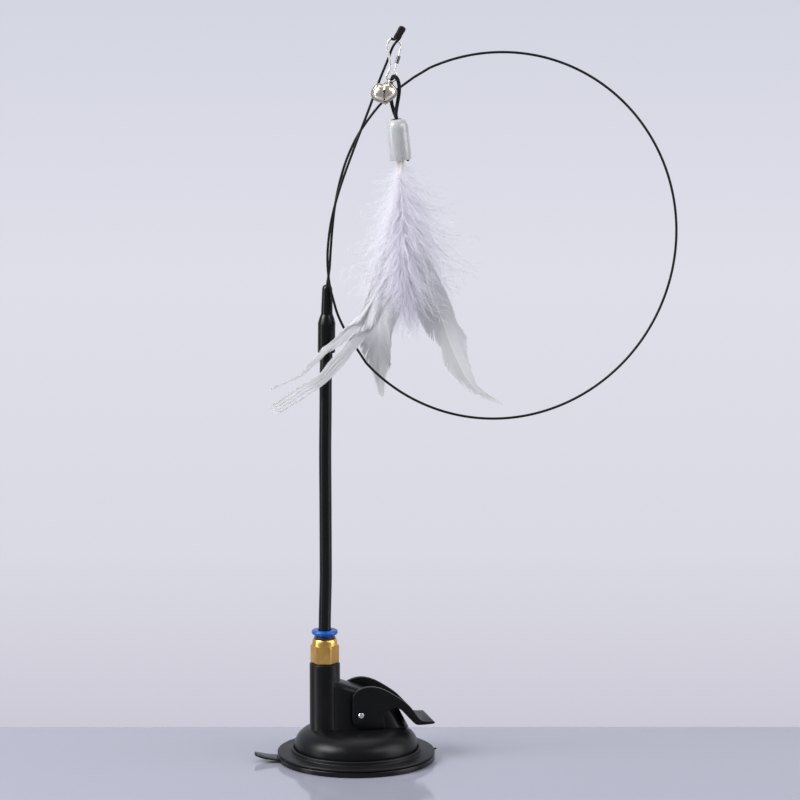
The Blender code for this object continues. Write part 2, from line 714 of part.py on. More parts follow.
def guide_sleeve(finish):
    """The plastic insert pressed into the fitting's mouth, which guides the release collar."""
    inner = SIZES["sleeve_radius"] + SEAT_GAP
    outer = inner + GUIDE_WALL
    low = SIZES["grip_seat"] + GRIP_THICKNESS + 2 * SEAT_GAP
    lip = SIZES["fitting_top"] + SEAT_GAP
    outline = [(inner, low), (outer, low), (outer, lip), (GUIDE_LIP_RADIUS, lip),
               (GUIDE_LIP_RADIUS, SIZES["lip_top"]), (inner, SIZES["lip_top"])]
    return add_object("guide_sleeve", turned("guide_sleeve", outline), finish)


def release_collar(finish):
    """The blue collar: pressed down, its sleeve opens the grip ring's teeth and frees the rod."""
    inner = ROD_RADIUS + SEAT_GAP
    sleeve = SIZES["sleeve_radius"]
    low = SIZES["grip_seat"] + GRIP_THICKNESS + 2 * SEAT_GAP + COLLAR_TRAVEL
    flange = SIZES["lip_top"] + COLLAR_TRAVEL + SEAT_GAP
    top = flange + COLLAR_THICKNESS
    rim = COLLAR_RADIUS - COLLAR_EDGE
    round_top = arc((rim, top - COLLAR_EDGE), (COLLAR_EDGE, COLLAR_EDGE), 0, 90, 3)
    round_low = arc((rim, flange + COLLAR_EDGE), (COLLAR_EDGE, COLLAR_EDGE), -90, 0, 3)
    outline = [(inner, low), (sleeve, low), (sleeve, flange), *round_low, *round_top,
               (inner + COLLAR_EDGE / 3, top), (inner, top - COLLAR_EDGE / 3)]
    return add_object("release_collar", turned("release_collar", outline), finish)


# Rod, boot and ferrule


def rod(finish, pivot):
    """The plastic tube that stands in the fitting, drawn with its slight bow."""
    levels = heights(SIZES["rod_bottom"], ROD_TOP, 11)
    outline = [(ROD_RADIUS, z) for z in levels]
    outline += [(ROD_BORE_RADIUS, z) for z in reversed(levels)]
    return add_object("rod", bow(turned("rod", outline, SMALL_SIDES)), finish, pivot)


def rod_boot(finish, pivot):
    """The soft boot over the rod's end, tapering to the wire."""
    shoulder = ROD_TOP + 2 * SEAT_GAP + BOOT_EDGE * 2
    neck = shoulder + BOOT_SHOULDER
    tip_round = BOOT_TIP_RADIUS - WIRE_RADIUS - SEAT_GAP
    cavity = ROD_RADIUS + SEAT_GAP
    bore = FERRULE_RADIUS + SEAT_GAP
    hole = WIRE_RADIUS + SEAT_GAP
    bore_top = SIZES["boot_top"] - FERRULE_BELOW_TIP + SEAT_GAP
    tip = arc((hole, SIZES["boot_top"] - tip_round), (tip_round, tip_round), 0, 90, 4)
    outline = [(cavity, SIZES["boot_bottom"]), (BOOT_RADIUS - BOOT_EDGE / 3, SIZES["boot_bottom"]),
               (BOOT_RADIUS, SIZES["boot_bottom"] + BOOT_EDGE / 3), (BOOT_RADIUS, shoulder - BOOT_EDGE),
               (BOOT_RADIUS - BOOT_EDGE / 3, shoulder),
               ((BOOT_RADIUS + BOOT_NECK_RADIUS) / 2, (shoulder + neck) / 2),
               (BOOT_NECK_RADIUS, neck), *tip, (hole, bore_top), (bore, bore_top),
               (bore, ROD_TOP + SEAT_GAP), (cavity, ROD_TOP + SEAT_GAP)]
    return add_object("rod_boot", bow(turned("rod_boot", outline, 20)), finish, pivot)


def wire_ferrule(finish, pivot):
    """The crimped tube that plugs the rod's bore and grips the wire."""
    hole = WIRE_RADIUS + SEAT_GAP
    levels = heights(ROD_TOP - FERRULE_IN_ROD, SIZES["boot_top"] - FERRULE_BELOW_TIP, 4)
    outline = [(FERRULE_RADIUS, z) for z in levels] + [(hole, z) for z in reversed(levels)]
    return add_object("wire_ferrule", bow(turned("wire_ferrule", outline, 12)), finish, pivot)


# Coated wire: two strands and the ring, in the turned frame


def wire_place(u_share, depth_share, z_share):
    """A point of the wire, in shares of the ring's radius from the boot's tip."""
    return Vector((bow_at(SIZES["boot_top"]) + u_share * RING_RADIUS, -depth_share * SIZES["strand_step"],
                   SIZES["boot_top"] + z_share * RING_RADIUS))


def ring_points():
    """The big ring, a little out of round, from the top left round by the right to the lower left."""
    centre_share = (0.9417, 0.2705)
    out_of_round_share = 0.0205
    out_of_round_turn = math.radians(35.6)
    depth_shares = (0.1, 1.3)
    start = math.radians(112)
    end = math.radians(-136)
    steps = 60
    points = []
    for i in range(steps + 1):
        t = i / steps
        angle = start + (end - start) * t
        reach = 1 - out_of_round_share * math.cos(2 * angle + out_of_round_turn)
        ease = min(t * 2, 1.0)
        ease = ease * ease * (3 - 2 * ease)
        depth = depth_shares[0] + (depth_shares[1] - depth_shares[0]) * ease
        points.append(wire_place(centre_share[0] + reach * math.cos(angle), depth,
                                 centre_share[1] + reach * math.sin(angle)))
    return points


def sleeve_frame():
    """The sleeve's lower end, its direction, and the direction across its two strands."""
    sleeve_shares = (0.3834, 4.45, 1.3680)
    low = wire_place(*sleeve_shares)
    along = Vector((math.sin(SLEEVE_TURN) * math.cos(SLEEVE_LEAN), -math.sin(SLEEVE_LEAN),
                    math.cos(SLEEVE_TURN) * math.cos(SLEEVE_LEAN)))
    across = Vector((math.cos(SLEEVE_TURN), 0.0, -math.sin(SLEEVE_TURN)))
    return low, along, across


def wire_points():
    """The whole wire: out of the boot, up to the ring, once round, up again and back in the sleeve."""
    rising_shares = [(0.004, 0.0, 0.028), (0.0133, 0.0, 0.0937), (0.0191, 0.0, 0.1828),
                     (0.0295, 0.0, 0.3159), (0.0457, 0.0, 0.449), (0.0735, 0.0, 0.5821),
                     (0.1163, 0.0, 0.7152), (0.1811, 0.0, 0.8471), (0.2772, 0.0, 0.9802),
                     (0.3547, 0.0, 1.0567), (0.4045, 0.0, 1.0949), (0.4809, 0.05, 1.1504)]
    returning_shares = [(0.1600, 1.35, -0.3480), (0.1105, 1.4, -0.2708), (0.0619, 1.5, -0.1701),
                        (0.0341, 1.55, -0.0799), (0.0133, 1.5, 0.0093), (0.0029, 1.2, 0.1204),
                        (0.0064, 1.0, 0.2315), (0.0249, 1.0, 0.3634), (0.0584, 1.0, 0.4965),
                        (0.1024, 1.0, 0.6296), (0.1672, 1.05, 0.8055), (0.2343, 1.3, 0.9825),
                        (0.2911, 1.9, 1.1388), (0.3316, 2.4, 1.2395), (0.3628, 3.0, 1.3210)]
    start = ROD_TOP - FERRULE_IN_ROD + WIRE_GRIP
    inside = [Vector((bow_at(z), 0.0, z)) for z in heights(start, SIZES["boot_top"], 4)]
    low, along, across = sleeve_frame()
    top = low + along * (SLEEVE_LENGTH - EYE_RADIUS)
    outer = across * EYE_RADIUS
    turn = [top + outer * math.cos(angle) + along * EYE_RADIUS * math.sin(angle)
            for angle in (math.radians(30 * i) for i in range(7))]
    stub = low - outer
    route = inside + [wire_place(*shares) for shares in rising_shares]
    rising = even_path(curve_through(route, 6), 7 * WIRE_RADIUS)
    middle = ring_points()
    back = [middle[-1]] + [wire_place(*shares) for shares in returning_shares]
    back.append(low + outer - along * WIRE_RADIUS)
    returning = even_path(curve_through(back, 8), 5 * WIRE_RADIUS)
    mouth = stub - along * WIRE_RADIUS
    tail = [mouth, mouth - along * STUB_LENGTH / 4 - across * STUB_LENGTH / 3,
            mouth - along * STUB_LENGTH / 3 - across * STUB_LENGTH]
    return rising + middle + returning[1:] + turn + tail


def ring_wire(finish, pivot):
    return add_object("ring_wire", round_wire("ring_wire", wire_points(), WIRE_RADIUS), finish, pivot)


def rounded_slot(half_length, half_width, steps):
    """A stadium outline in its own plane, long way first."""
    straight = half_length - half_width
    points = arc((straight, 0.0), (half_width, half_width), -90, 90, steps)
    return points + arc((-straight, 0.0), (half_width, half_width), 90, 270, steps)


def end_sleeve(finish, pivot):
    """The flattened crimp round the wire and its returned end."""
    low, along, across = sleeve_frame()
    side = along.cross(across)
    inner = (EYE_RADIUS + WIRE_RADIUS + SEAT_GAP / 2, WIRE_RADIUS + SEAT_GAP / 2)
    outer = (inner[0] + SLEEVE_WALL, inner[1] + SLEEVE_WALL)
    end = SLEEVE_LENGTH + WIRE_RADIUS
    bm = bmesh.new()
    rows = []
    for size, height in ((outer, 0.0), (outer, end), (inner, end), (inner, 0.0)):
        rows.append([bm.verts.new(low + along * height + across * x + side * y)
                     for x, y in rounded_slot(size[0], size[1], 5)])
    for k in range(4):
        following = rows[(k + 1) % 4]
        for i in range(len(rows[k])):
            j = (i + 1) % len(rows[k])
            bm.faces.new((rows[k][i], rows[k][j], following[j], following[i]))
    return add_object("end_sleeve", finished_mesh("end_sleeve", bm), finish, pivot)


# Clip, bell and cord loop


def clip_crown():
    """The place of the clip's top, hung under the wire where it bends forward into the sleeve."""
    low, along, across = sleeve_frame()
    crown_share = 0.25
    behind_wire = 2 * (WIRE_RADIUS + CLIP_WIRE)
    return Vector((low.x - crown_share * CLIP_WIDTH, low.y + behind_wire, low.z - CLIP_WIRE / 2))


def clip_place(u_share, z_share):
    """A point of the clip, in shares of its width and length from its top."""
    crown = clip_crown()
    return Vector((crown.x + u_share * CLIP_WIDTH, crown.y, crown.z - z_share * CLIP_LENGTH))


def clip_points():
    clip_shares = [(0.0, 0.0), (0.23, 0.02), (0.48, 0.085), (0.58, 0.16), (0.44, 0.38), (0.22, 0.61),
                   (0.18, 0.77), (0.24, 0.88), (0.13, 0.97), (-0.10, 1.0), (-0.35, 0.985),
                   (-0.50, 0.90), (-0.38, 0.80), (-0.20, 0.64), (-0.30, 0.42), (-0.40, 0.21),
                   (-0.38, 0.085), (-0.23, 0.02)]
    closed = [clip_place(*clip_shares[(i - 1) % len(clip_shares)]) for i in range(len(clip_shares) + 3)]
    path = curve_through(closed, 2)
    return path[2:-4]


def snap_clip(finish, pivot):
    """A spring clip bent from one wire, with the catch that closes its right leg."""
    clip = add_object("snap_clip", round_wire("snap_clip", clip_points(), CLIP_WIRE, cyclic=True),
                      finish, pivot)
    clip.data.use_fill_caps = False
    return clip


def catch(finish, pivot):
    """The little tube on the clip's right leg that holds its free end."""
    start_shares = (0.42, 0.40)
    end_shares = (0.26, 0.57)
    start = clip_place(*start_shares)
    end = clip_place(*end_shares)
    along = (end - start).normalized()
    turn = along.to_track_quat("Z", "X").to_matrix().to_4x4()
    inner = CLIP_WIRE + SEAT_GAP
    outer = inner + CATCH_WALL
    length = (end - start).length
    outline = [(inner, 0.0), (outer, 0.0), (outer, length), (inner, length)]
    mesh = turned("clip_catch", outline, 12)
    mesh.transform(Matrix.Translation(start) @ turn)
    return add_object("clip_catch", mesh, finish, pivot)


def bell_hook():
    """Where the bell's link ring hangs on the clip's lowest bend."""
    hook_shares = (-0.295, 0.992)
    return clip_place(*hook_shares)


def link_centre():
    bar = bell_hook()
    drop = LINK_RADIUS - LINK_WIRE - CLIP_WIRE - SEAT_GAP * 1.3
    return Vector((bar.x, bar.y - SEAT_GAP, bar.z - drop))


def heart_outline(scale, steps=28):
    """A heart in its own plane, point down, scaled about its middle; smaller ones have a deeper dip."""
    dip = 5 - 3.2 * scale
    middle = -0.3 - 0.45 * dip
    height = 23.4 + 1.1 * dip
    points = []
    for i in range(steps):
        angle = math.tau * i / steps
        across = 16 * math.sin(angle) ** 3
        up = 13 * math.cos(angle) - dip * math.cos(2 * angle) - 2 * math.cos(3 * angle) - math.cos(4 * angle)
        points.append((across / 32 * BELL_WIDTH * scale, (up - middle) / height * BELL_HEIGHT * scale))
    return points


def bell_centre():
    across_share = 0.18
    drop_share = 0.53
    link = link_centre()
    return Vector((link.x - across_share * BELL_WIDTH, link.y - 2 * SEAT_GAP,
                   link.z - drop_share * BELL_HEIGHT))


def bell_half(name, finish, pivot, side):
    """One pressed half of the heart bell: a flange and a dome, one sheet thick."""
    depth_shares = [(1.0, 0.0), (0.90, 0.0), (0.84, 0.40), (0.68, 0.74), (0.44, 0.94), (0.18, 1.0)]
    middle = bell_centre()
    tilt = Matrix.Rotation(-BELL_TILT, 3, "Y")
    flange = SEAT_GAP / 2
    sheet = BELL_SHEET / BELL_WIDTH * 2
    loops = []
    for scale, depth in depth_shares:
        loops.append((scale, flange + BELL_FLANGE + depth * (BELL_DEPTH - BELL_FLANGE)))
    inner = [(max(scale - sheet, sheet), flange + depth * (BELL_DEPTH - BELL_FLANGE))
             for scale, depth in reversed(depth_shares[2:])]
    inner.append((0.84 - sheet, flange))
    inner.append((1.0, flange))
    bm = bmesh.new()
    outer_rows = bell_rows(bm, loops, middle, tilt, side)
    inner_rows = bell_rows(bm, inner, middle, tilt, side)
    for row, following in list(zip(outer_rows, outer_rows[1:])) + list(zip(inner_rows, inner_rows[1:])):
        bridge(bm, row, following)
    bridge(bm, inner_rows[-1], outer_rows[0])
    bm.faces.new(outer_rows[-1])
    bm.faces.new(list(reversed(inner_rows[0])))
    return add_object(name, finished_mesh(name, bm), finish, pivot)


def bell_rows(bm, loops, middle, tilt, side):
    rows = []
    for scale, depth in loops:
        row = []
        for across, up in heart_outline(scale):
            row.append(bm.verts.new(middle + tilt @ Vector((across, side * depth, up))))
        rows.append(row)
    return rows


def bridge(bm, row, following):
    for i in range(len(row)):
        j = (i + 1) % len(row)
        bm.faces.new((row[i], row[j], following[j], following[i]))


def bell(nickel, steel, pivot):
    """Two halves, the slit that lets the sound out, the link ring and the loose clapper."""
    front = bell_half("bell_front", nickel, pivot, -1)
    back = bell_half("bell_back", nickel, pivot, 1)
    add_object("bell_link", link_mesh("bell_link", LINK_WIRE), steel, pivot)
    notch = add_object("link_notch", link_mesh("link_notch", LINK_WIRE + SEAT_GAP), None, pivot)
    clapper_share = -0.07
    middle = bell_centre()
    slit_cutter = add_object("slit", slit_mesh(middle, SLIT_WIDTH / 2), None, pivot)
    for half in (front, back):
        cut(half, notch)
    cut(front, slit_cutter)
    ball = bmesh.new()
    bmesh.ops.create_uvsphere(ball, u_segments=12, v_segments=8, radius=CLAPPER_RADIUS)
    low = middle + Vector((0.0, 0.0, clapper_share * BELL_HEIGHT))
    bmesh.ops.translate(ball, verts=ball.verts, vec=low)
    add_object("bell_clapper", finished_mesh("bell_clapper", ball), steel, pivot)


def link_mesh(name, wire):
    """The bell's link ring, standing across the clip's lowest bend."""
    outline = arc((LINK_RADIUS, 0.0), (wire, wire), 0, 315, 7)
    mesh = turned(name, outline, 20)
    mesh.transform(Matrix.Translation(link_centre()) @ Matrix.Rotation(math.pi / 2, 4, "Y"))
    return mesh


def slit_mesh(middle, half):
    """The cutter for the sound slit: a narrow upright blade through the front half's belly."""
    slit_shares = (-0.30, 0.16)
    low, high = [share * BELL_HEIGHT for share in slit_shares]
    outline = [(middle.x - half, middle.z + low), (middle.x + half, middle.z + low),
               (middle.x + half, middle.z + high), (middle.x - half, middle.z + high)]
    start = middle.y - BELL_DEPTH - CUT_OVERRUN
    return prism("slit", outline, start, middle.y - BELL_DEPTH / 2)


def cord_hook():
    """Where the cord's loop passes over the clip's lowest bend."""
    hook_shares = (-0.04, 1.0)
    bar = clip_place(*hook_shares)
    over = CORD_RADIUS + CLIP_WIRE + SEAT_GAP * 1.5
    return Vector((bar.x, bar.y, bar.z + over))


def cap_top():
    """The top of the feather cap, hung below the clip's lowest bend."""
    lean_share = 0.092
    hook = cord_hook()
    return Vector((hook.x + lean_share * CORD_REACH, hook.y, hook.z - CORD_REACH))


def cord_points():
    """The cord's loop: up from the cap in front of the clip, over its lowest bend and down behind."""
    top = cap_top()
    pair = CORD_RADIUS + SEAT_GAP / 3
    loop_shares = [(0.00, -1.0, -0.23), (0.00, -1.0, 0.0), (-0.013, -1.05, 0.148), (0.023, 0.25, 0.377),
                   (0.061, 0.80, 0.606), (0.066, 0.60, 0.784), (0.045, -0.45, 0.911),
                   (0.010, -1.50, 0.990), (-0.036, -1.62, 1.030), (-0.072, -0.95, 1.034),
                   (-0.092, 0.0, 1.0), (-0.102, 1.05, 0.970), (-0.118, 1.95, 0.910),
                   (-0.130, 3.2, 0.784), (-0.135, 3.9, 0.606), (-0.115, 2.7, 0.377),
                   (-0.060, 1.4, 0.173), (0.00, 1.0, 0.0), (0.00, 1.0, -0.23)]
    route = [Vector((top.x + across * CORD_REACH, top.y + depth * pair, top.z + rise * CORD_REACH))
             for across, depth, rise in loop_shares]
    return even_path(curve_through(route, 8), 1.6 * CORD_RADIUS)


def cord_loop(finish, pivot):
    return add_object("cord_loop", round_wire("cord_loop", cord_points(), CORD_RADIUS), finish, pivot)


def bore_radius():
    """The cap's inner bore, which takes the cord's two ends and the five quills."""
    return 2 * CORD_RADIUS + SEAT_GAP * 1.5


def feather_cap(finish, pivot):
    """The translucent rubber cap, open below, leaning a little as it hangs."""
    hole = bore_radius()
    dome = arc((hole, -CAP_DOME), (CAP_TOP_RADIUS - hole, CAP_DOME), 90, 0, 6)
    mouth = CAP_MOUTH_RADIUS - CAP_WALL
    outline = [*dome, (CAP_MOUTH_RADIUS, -CAP_LENGTH), (mouth, -CAP_LENGTH),
               (mouth, -CAP_LENGTH + CAP_MOUTH_DEPTH), (hole, -CAP_LENGTH + CAP_MOUTH_DEPTH)]
    return add_object("feather_cap", turned("feather_cap", outline, 20), finish, pivot, at=cap_top(),
                      turn=(0.0, -CAP_LEAN, 0.0))


# Feathers


def quill_start(angle_degrees, depth):
    """A quill's place on the circle of five, at a depth below the cap's top along its leaning axis."""
    angle = math.radians(angle_degrees)
    top = cap_top()
    axis = Vector((math.sin(CAP_LEAN), 0.0, -math.cos(CAP_LEAN)))
    out = Vector((math.cos(CAP_LEAN), 0.0, math.sin(CAP_LEAN)))
    place = top + axis * depth + out * QUILL_CIRCLE * math.cos(angle)
    place.y += QUILL_CIRCLE * math.sin(angle)
    return place


def vane(name, finish, pivot, angle_degrees, length, thickness, shares):
    """A flat lofted feather: a round quill out of the cap, then a vane of changing width.

    Each share gives the vane's middle (across, back, down from the cap's mouth) and its half width.
    """
    mouth = quill_start(angle_degrees, CAP_LENGTH)
    inside = quill_start(angle_degrees, CAP_LENGTH - QUILL_IN_CAP)
    stations = [(inside, QUILL_RADIUS), (mouth, QUILL_RADIUS)]
    for across, back, down, half in shares:
        place = Vector((mouth.x + across * length, mouth.y + back * length, mouth.z - down * length))
        stations.append((place, half * length))
    middle = curve_through([(*place.xz, place.y) for place, half in stations], 2)
    widths = curve_through([(half, 0.0, 0.0) for place, half in stations], 2)
    loops = []
    for i, point in enumerate(middle):
        before = middle[max(i - 1, 0)]
        after = middle[min(i + 1, len(middle) - 1)]
        along = Vector((after.x - before.x, after.y - before.y))
        side = Vector((-along.y, along.x)).normalized()
        half = max(widths[i].x, QUILL_RADIUS)
        thick = min(QUILL_RADIUS, thickness) if half > QUILL_RADIUS else QUILL_RADIUS
        edge = min(VANE_EDGE / 2, thick)
        loop = []
        for reach, rise in ((-half, -edge), (0.0, -thick), (half, -edge), (half, edge), (0.0, thick),
                            (-half, edge)):
            loop.append((point.x + side.x * reach, point.z + rise, point.y + side.y * reach))
        loops.append(loop)
    return add_object(name, loft(name, loops), finish, pivot)


def feathers(finish, pivot):
    left_shares = [(0.0, 0.0, 0.07, 0.005), (-0.006, -0.004, 0.17, 0.016), (-0.022, -0.006, 0.30, 0.024),
                   (-0.060, -0.006, 0.50, 0.034), (-0.142, -0.004, 0.682, 0.039),
                   (-0.208, 0.004, 0.764, 0.045), (-0.325, 0.010, 0.88, 0.049),
                   (-0.427, 0.012, 0.98, 0.040), (-0.495, 0.012, 1.035, 0.022),
                   (-0.540, 0.012, 1.070, 0.005)]
    middle_shares = [(0.0, 0.002, 0.08, 0.006), (-0.010, 0.016, 0.225, 0.024),
                     (-0.040, 0.026, 0.44, 0.055), (-0.086, 0.038, 0.618, 0.078),
                     (-0.100, 0.054, 0.74, 0.080), (-0.100, 0.068, 0.82, 0.069),
                     (-0.093, 0.075, 0.91, 0.048), (-0.087, 0.078, 0.98, 0.010)]
    right_shares = [(0.006, 0.004, 0.07, 0.005), (0.022, 0.008, 0.20, 0.018), (0.062, 0.008, 0.37, 0.042),
                    (0.124, 0.006, 0.575, 0.076), (0.173, 0.004, 0.695, 0.083),
                    (0.205, 0.002, 0.80, 0.080), (0.240, 0.0, 0.885, 0.058), (0.282, 0.0, 0.965, 0.034),
                    (0.345, 0.0, 1.022, 0.014), (0.440, 0.0, 1.075, 0.004)]
    vane("left_feather", finish, pivot, 198, FEATHER_LENGTH, VANE_THICKNESS / 2, left_shares)
    vane("middle_feather", finish, pivot, 126, FEATHER_LENGTH, VANE_THICKNESS / 2, middle_shares)
    vane("right_feather", finish, pivot, -18, FEATHER_LENGTH, VANE_THICKNESS / 2, right_shares)
    front_shares = [(0.0, -0.006, 0.06, 0.007), (-0.004, -0.020, 0.15, 0.048),
                    (-0.006, -0.030, 0.30, 0.118), (-0.004, -0.034, 0.50, 0.170),
                    (0.006, -0.034, 0.70, 0.185), (0.018, -0.030, 0.86, 0.150),
                    (0.028, -0.026, 1.0, 0.060)]
    back_shares = [(0.0, 0.010, 0.06, 0.007), (0.0, 0.032, 0.14, 0.042), (0.0, 0.045, 0.28, 0.110),
                   (0.006, 0.050, 0.48, 0.165), (0.014, 0.062, 0.66, 0.180),
                   (0.022, 0.072, 0.80, 0.150), (0.028, 0.076, 0.92, 0.060)]
    vane("front_plume", finish, pivot, -90, PLUME_LENGTH, PLUME_THICKNESS / 2, front_shares)
    vane("back_plume", finish, pivot, 54, PLUME_LENGTH, PLUME_THICKNESS / 2, back_shares)


def main():
    clear_scene()
    plastic = material("matte_black_plastic", (0.012, 0.013, 0.015), 0.42)
    rubber = material("black_rubber", (0.014, 0.015, 0.017), 0.55)
    gel = material("smoked_gel", (0.020, 0.021, 0.026), 0.30)
    white_plastic = material("white_plastic", (0.70, 0.70, 0.68), 0.45)
    steel = material("bright_steel", (0.62, 0.62, 0.62), 0.25, 1.0)
    brass = material("brass", (0.63, 0.42, 0.16), 0.28, 1.0)
    blue = material("blue_plastic", (0.02, 0.20, 0.62), 0.35)
    grey = material("grey_plastic", (0.22, 0.20, 0.24), 0.45)
    tube = material("black_tube", (0.010, 0.010, 0.012), 0.30)
    coating = material("wire_coating", (0.010, 0.010, 0.012), 0.38)
    nickel = material("nickel", (0.72, 0.69, 0.64), 0.12, 1.0)
    cord = material("black_cord", (0.010, 0.010, 0.011), 0.70)
    clear_rubber = material("translucent_rubber", (0.62, 0.66, 0.68), 0.35, 0.0, 0.8)
    white = material("white_feather", (0.86, 0.86, 0.88), 0.75)

    gel_pad(gel)
    suction_pad(rubber)
    base_housing(plastic)
    plunger(white_plastic)
    lever_pin(steel)
    lever(plastic, add_empty("lever_pivot", (ROD_TO_PAD, 0.0, PIN_HEIGHT)))
    fitting_body(brass)
    seal_ring(rubber)
    guide_sleeve(grey)
    release_collar(blue)

    turned_frame = add_empty("turned_frame", (0.0, 0.0, 0.0), turn=FRAME_TURN)
    rod_axis = add_empty("rod_axis", (0.0, 0.0, 0.0), turned_frame)
    grip_ring(steel, rod_axis)
    rod(tube, rod_axis)
    rod_boot(rubber, rod_axis)
    wire_ferrule(steel, rod_axis)
    ring_wire(coating, rod_axis)
    end_sleeve(coating, rod_axis)
    clip_pivot = add_empty("clip_pivot", clip_crown(), turned_frame)
    snap_clip(steel, clip_pivot)
    catch(steel, clip_pivot)
    bell(nickel, steel, add_empty("bell_pivot", bell_hook(), turned_frame))
    feather_pivot = add_empty("feather_pivot", cord_hook(), turned_frame)
    cord_loop(cord, feather_pivot)
    feather_cap(clear_rubber, feather_pivot)
    feathers(white, feather_pivot)


main()
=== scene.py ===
"""Looks of a cat teaser on a suction cup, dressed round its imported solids.

The base stands on its pads, a rod stands in the base's push-in fitting, and a coated spring wire carries
a clip, a heart bell and a bunch of feathers. All lengths are in metres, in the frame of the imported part.
The wire, the clip and the feathers lie in a plane turned a little about Z: u runs across the ring, v runs
away from the photograph's viewer, and z is up.
"""

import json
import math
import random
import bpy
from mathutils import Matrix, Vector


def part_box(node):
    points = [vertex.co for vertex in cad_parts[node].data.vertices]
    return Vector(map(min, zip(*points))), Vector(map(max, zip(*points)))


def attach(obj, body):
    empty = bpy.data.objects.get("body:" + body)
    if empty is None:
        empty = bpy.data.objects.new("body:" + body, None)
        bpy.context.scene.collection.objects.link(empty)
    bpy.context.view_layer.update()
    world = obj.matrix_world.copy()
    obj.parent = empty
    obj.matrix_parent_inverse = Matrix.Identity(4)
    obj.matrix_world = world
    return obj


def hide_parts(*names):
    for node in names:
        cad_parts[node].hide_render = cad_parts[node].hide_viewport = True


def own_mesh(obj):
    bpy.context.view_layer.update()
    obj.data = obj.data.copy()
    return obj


bl_info = {
    "name": "Cat teaser on a suction cup",
    "version": (1, 0, 0),
    "blender": (4, 5, 0),
    "location": "3D View > Sidebar > Cat teaser",
    "description": "Finishes the base, rod, wire, bell and feathers of a cat teaser, and lights them",
    "category": "Object",
}

import bmesh
import bpy
from mathutils import Vector

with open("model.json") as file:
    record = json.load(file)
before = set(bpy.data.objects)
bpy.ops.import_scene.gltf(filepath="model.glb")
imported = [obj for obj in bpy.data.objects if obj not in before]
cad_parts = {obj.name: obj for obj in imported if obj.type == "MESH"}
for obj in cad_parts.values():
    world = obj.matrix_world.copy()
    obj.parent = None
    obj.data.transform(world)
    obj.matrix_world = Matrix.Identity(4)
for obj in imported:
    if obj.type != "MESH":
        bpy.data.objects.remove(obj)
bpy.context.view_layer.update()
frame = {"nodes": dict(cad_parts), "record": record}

RECORD = frame["record"]
JOINTS = {joint["name"]: joint for joint in RECORD["behaviour"]["joints"]}
BODY_OF = {node: body for body, nodes in RECORD["behaviour"]["bodies"].items() for node in nodes}
SLOT_OF = {part["node"]: part["material_slot"] for part in RECORD["subparts"]}

AWAY = -Vector(JOINTS["clip_swing"]["axis"]).normalized()
ACROSS = Vector((AWAY.y, -AWAY.x, 0.0))
UP = Vector((0.0, 0.0, 1.0))

MERGE = 0.000002
FLAT_ANGLE = math.radians(1.5)
SMOOTH_ANGLE = math.radians(32)
SOFT_ANGLE = math.radians(50)
ROUND_ANGLE = math.radians(60)


def spot(u, v, z):
    """A point of the wire's turned plane, in the part's own frame."""
    return ACROSS * u + AWAY * v + UP * z


# Colours of the parts that hardly show

WHITE_MOULDING = (0.68, 0.68, 0.66)
SEAL_RUBBER = (0.012, 0.012, 0.013)
PLAIN_STEEL = (0.70, 0.70, 0.71)
DARK_STEEL = (0.20, 0.20, 0.21)


# Sizes and colours that a user would change


def length(name, description, default):
    return bpy.props.FloatProperty(name=name, description=description, default=default, unit="LENGTH",
                                   min=0.0, precision=5)


def angle(name, description, degrees):
    return bpy.props.FloatProperty(name=name, description=description, default=math.radians(degrees),
                                   subtype="ANGLE")


def tint(name, description, default):
    return bpy.props.FloatVectorProperty(name=name, description=description, default=default, size=3,
                                         subtype="COLOR", min=0.0, max=1.0)


class BaseSettings(bpy.types.PropertyGroup):
    plastic: tint("Plastic", "Colour of the moulded housing and lever", (0.0028, 0.0029, 0.0034))
    rubber: tint("Rubber", "Colour of the upper pad", (0.0030, 0.0031, 0.0036))
    gel: tint("Gel", "Colour of the sticky lower pad", (0.0034, 0.0035, 0.0042))
    pin: tint("Pin", "Colour of the lever's steel pin", (0.72, 0.72, 0.73))
    edge: length("Edge round", "Width of the rounded edges of the mouldings", 0.00045)
    nub: length("Nub", "Size of the moulding nub on the pads' rim", 0.0011)


class FittingSettings(bpy.types.PropertyGroup):
    brass: tint("Brass", "Colour of the turned fitting", (0.78, 0.455, 0.125))
    collar: tint("Collar", "Colour of the release collar", (0.001, 0.075, 0.34))
    guide: tint("Guide", "Colour of the guide sleeve", (0.030, 0.024, 0.024))
    edge: length("Edge round", "Width of the brass edges' round", 0.00018)


class WireSettings(bpy.types.PropertyGroup):
    tube: tint("Rod", "Colour of the extruded rod", (0.0028, 0.0029, 0.0034))
    boot: tint("Boot", "Colour of the soft boot", (0.0026, 0.0027, 0.0032))
    coating: tint("Coating", "Colour of the wire's coating", (0.0022, 0.0022, 0.0025))
    sleeve: tint("Sleeve", "Colour of the crimped end sleeve", (0.009, 0.006, 0.006))


class CharmSettings(bpy.types.PropertyGroup):
    steel: tint("Steel", "Colour of the clip and the link", (0.74, 0.73, 0.68))
    nickel: tint("Nickel", "Colour of the bell's plating", (0.92, 0.84, 0.72))
    cord: tint("Cord", "Colour of the braided cord", (0.0036, 0.0036, 0.0040))
    cap: tint("Cap", "Colour of the translucent cap", (0.57, 0.58, 0.60))
    cord_radius: length("Cord radius", "Outer radius of the braided cord", 0.00098)
    strands: bpy.props.IntProperty(name="Strands", description="Strands of the braid each way round",
                                   default=6, min=3, max=12)
    clip_radius: length("Clip wire", "Radius of the clip's wire", 0.0005)


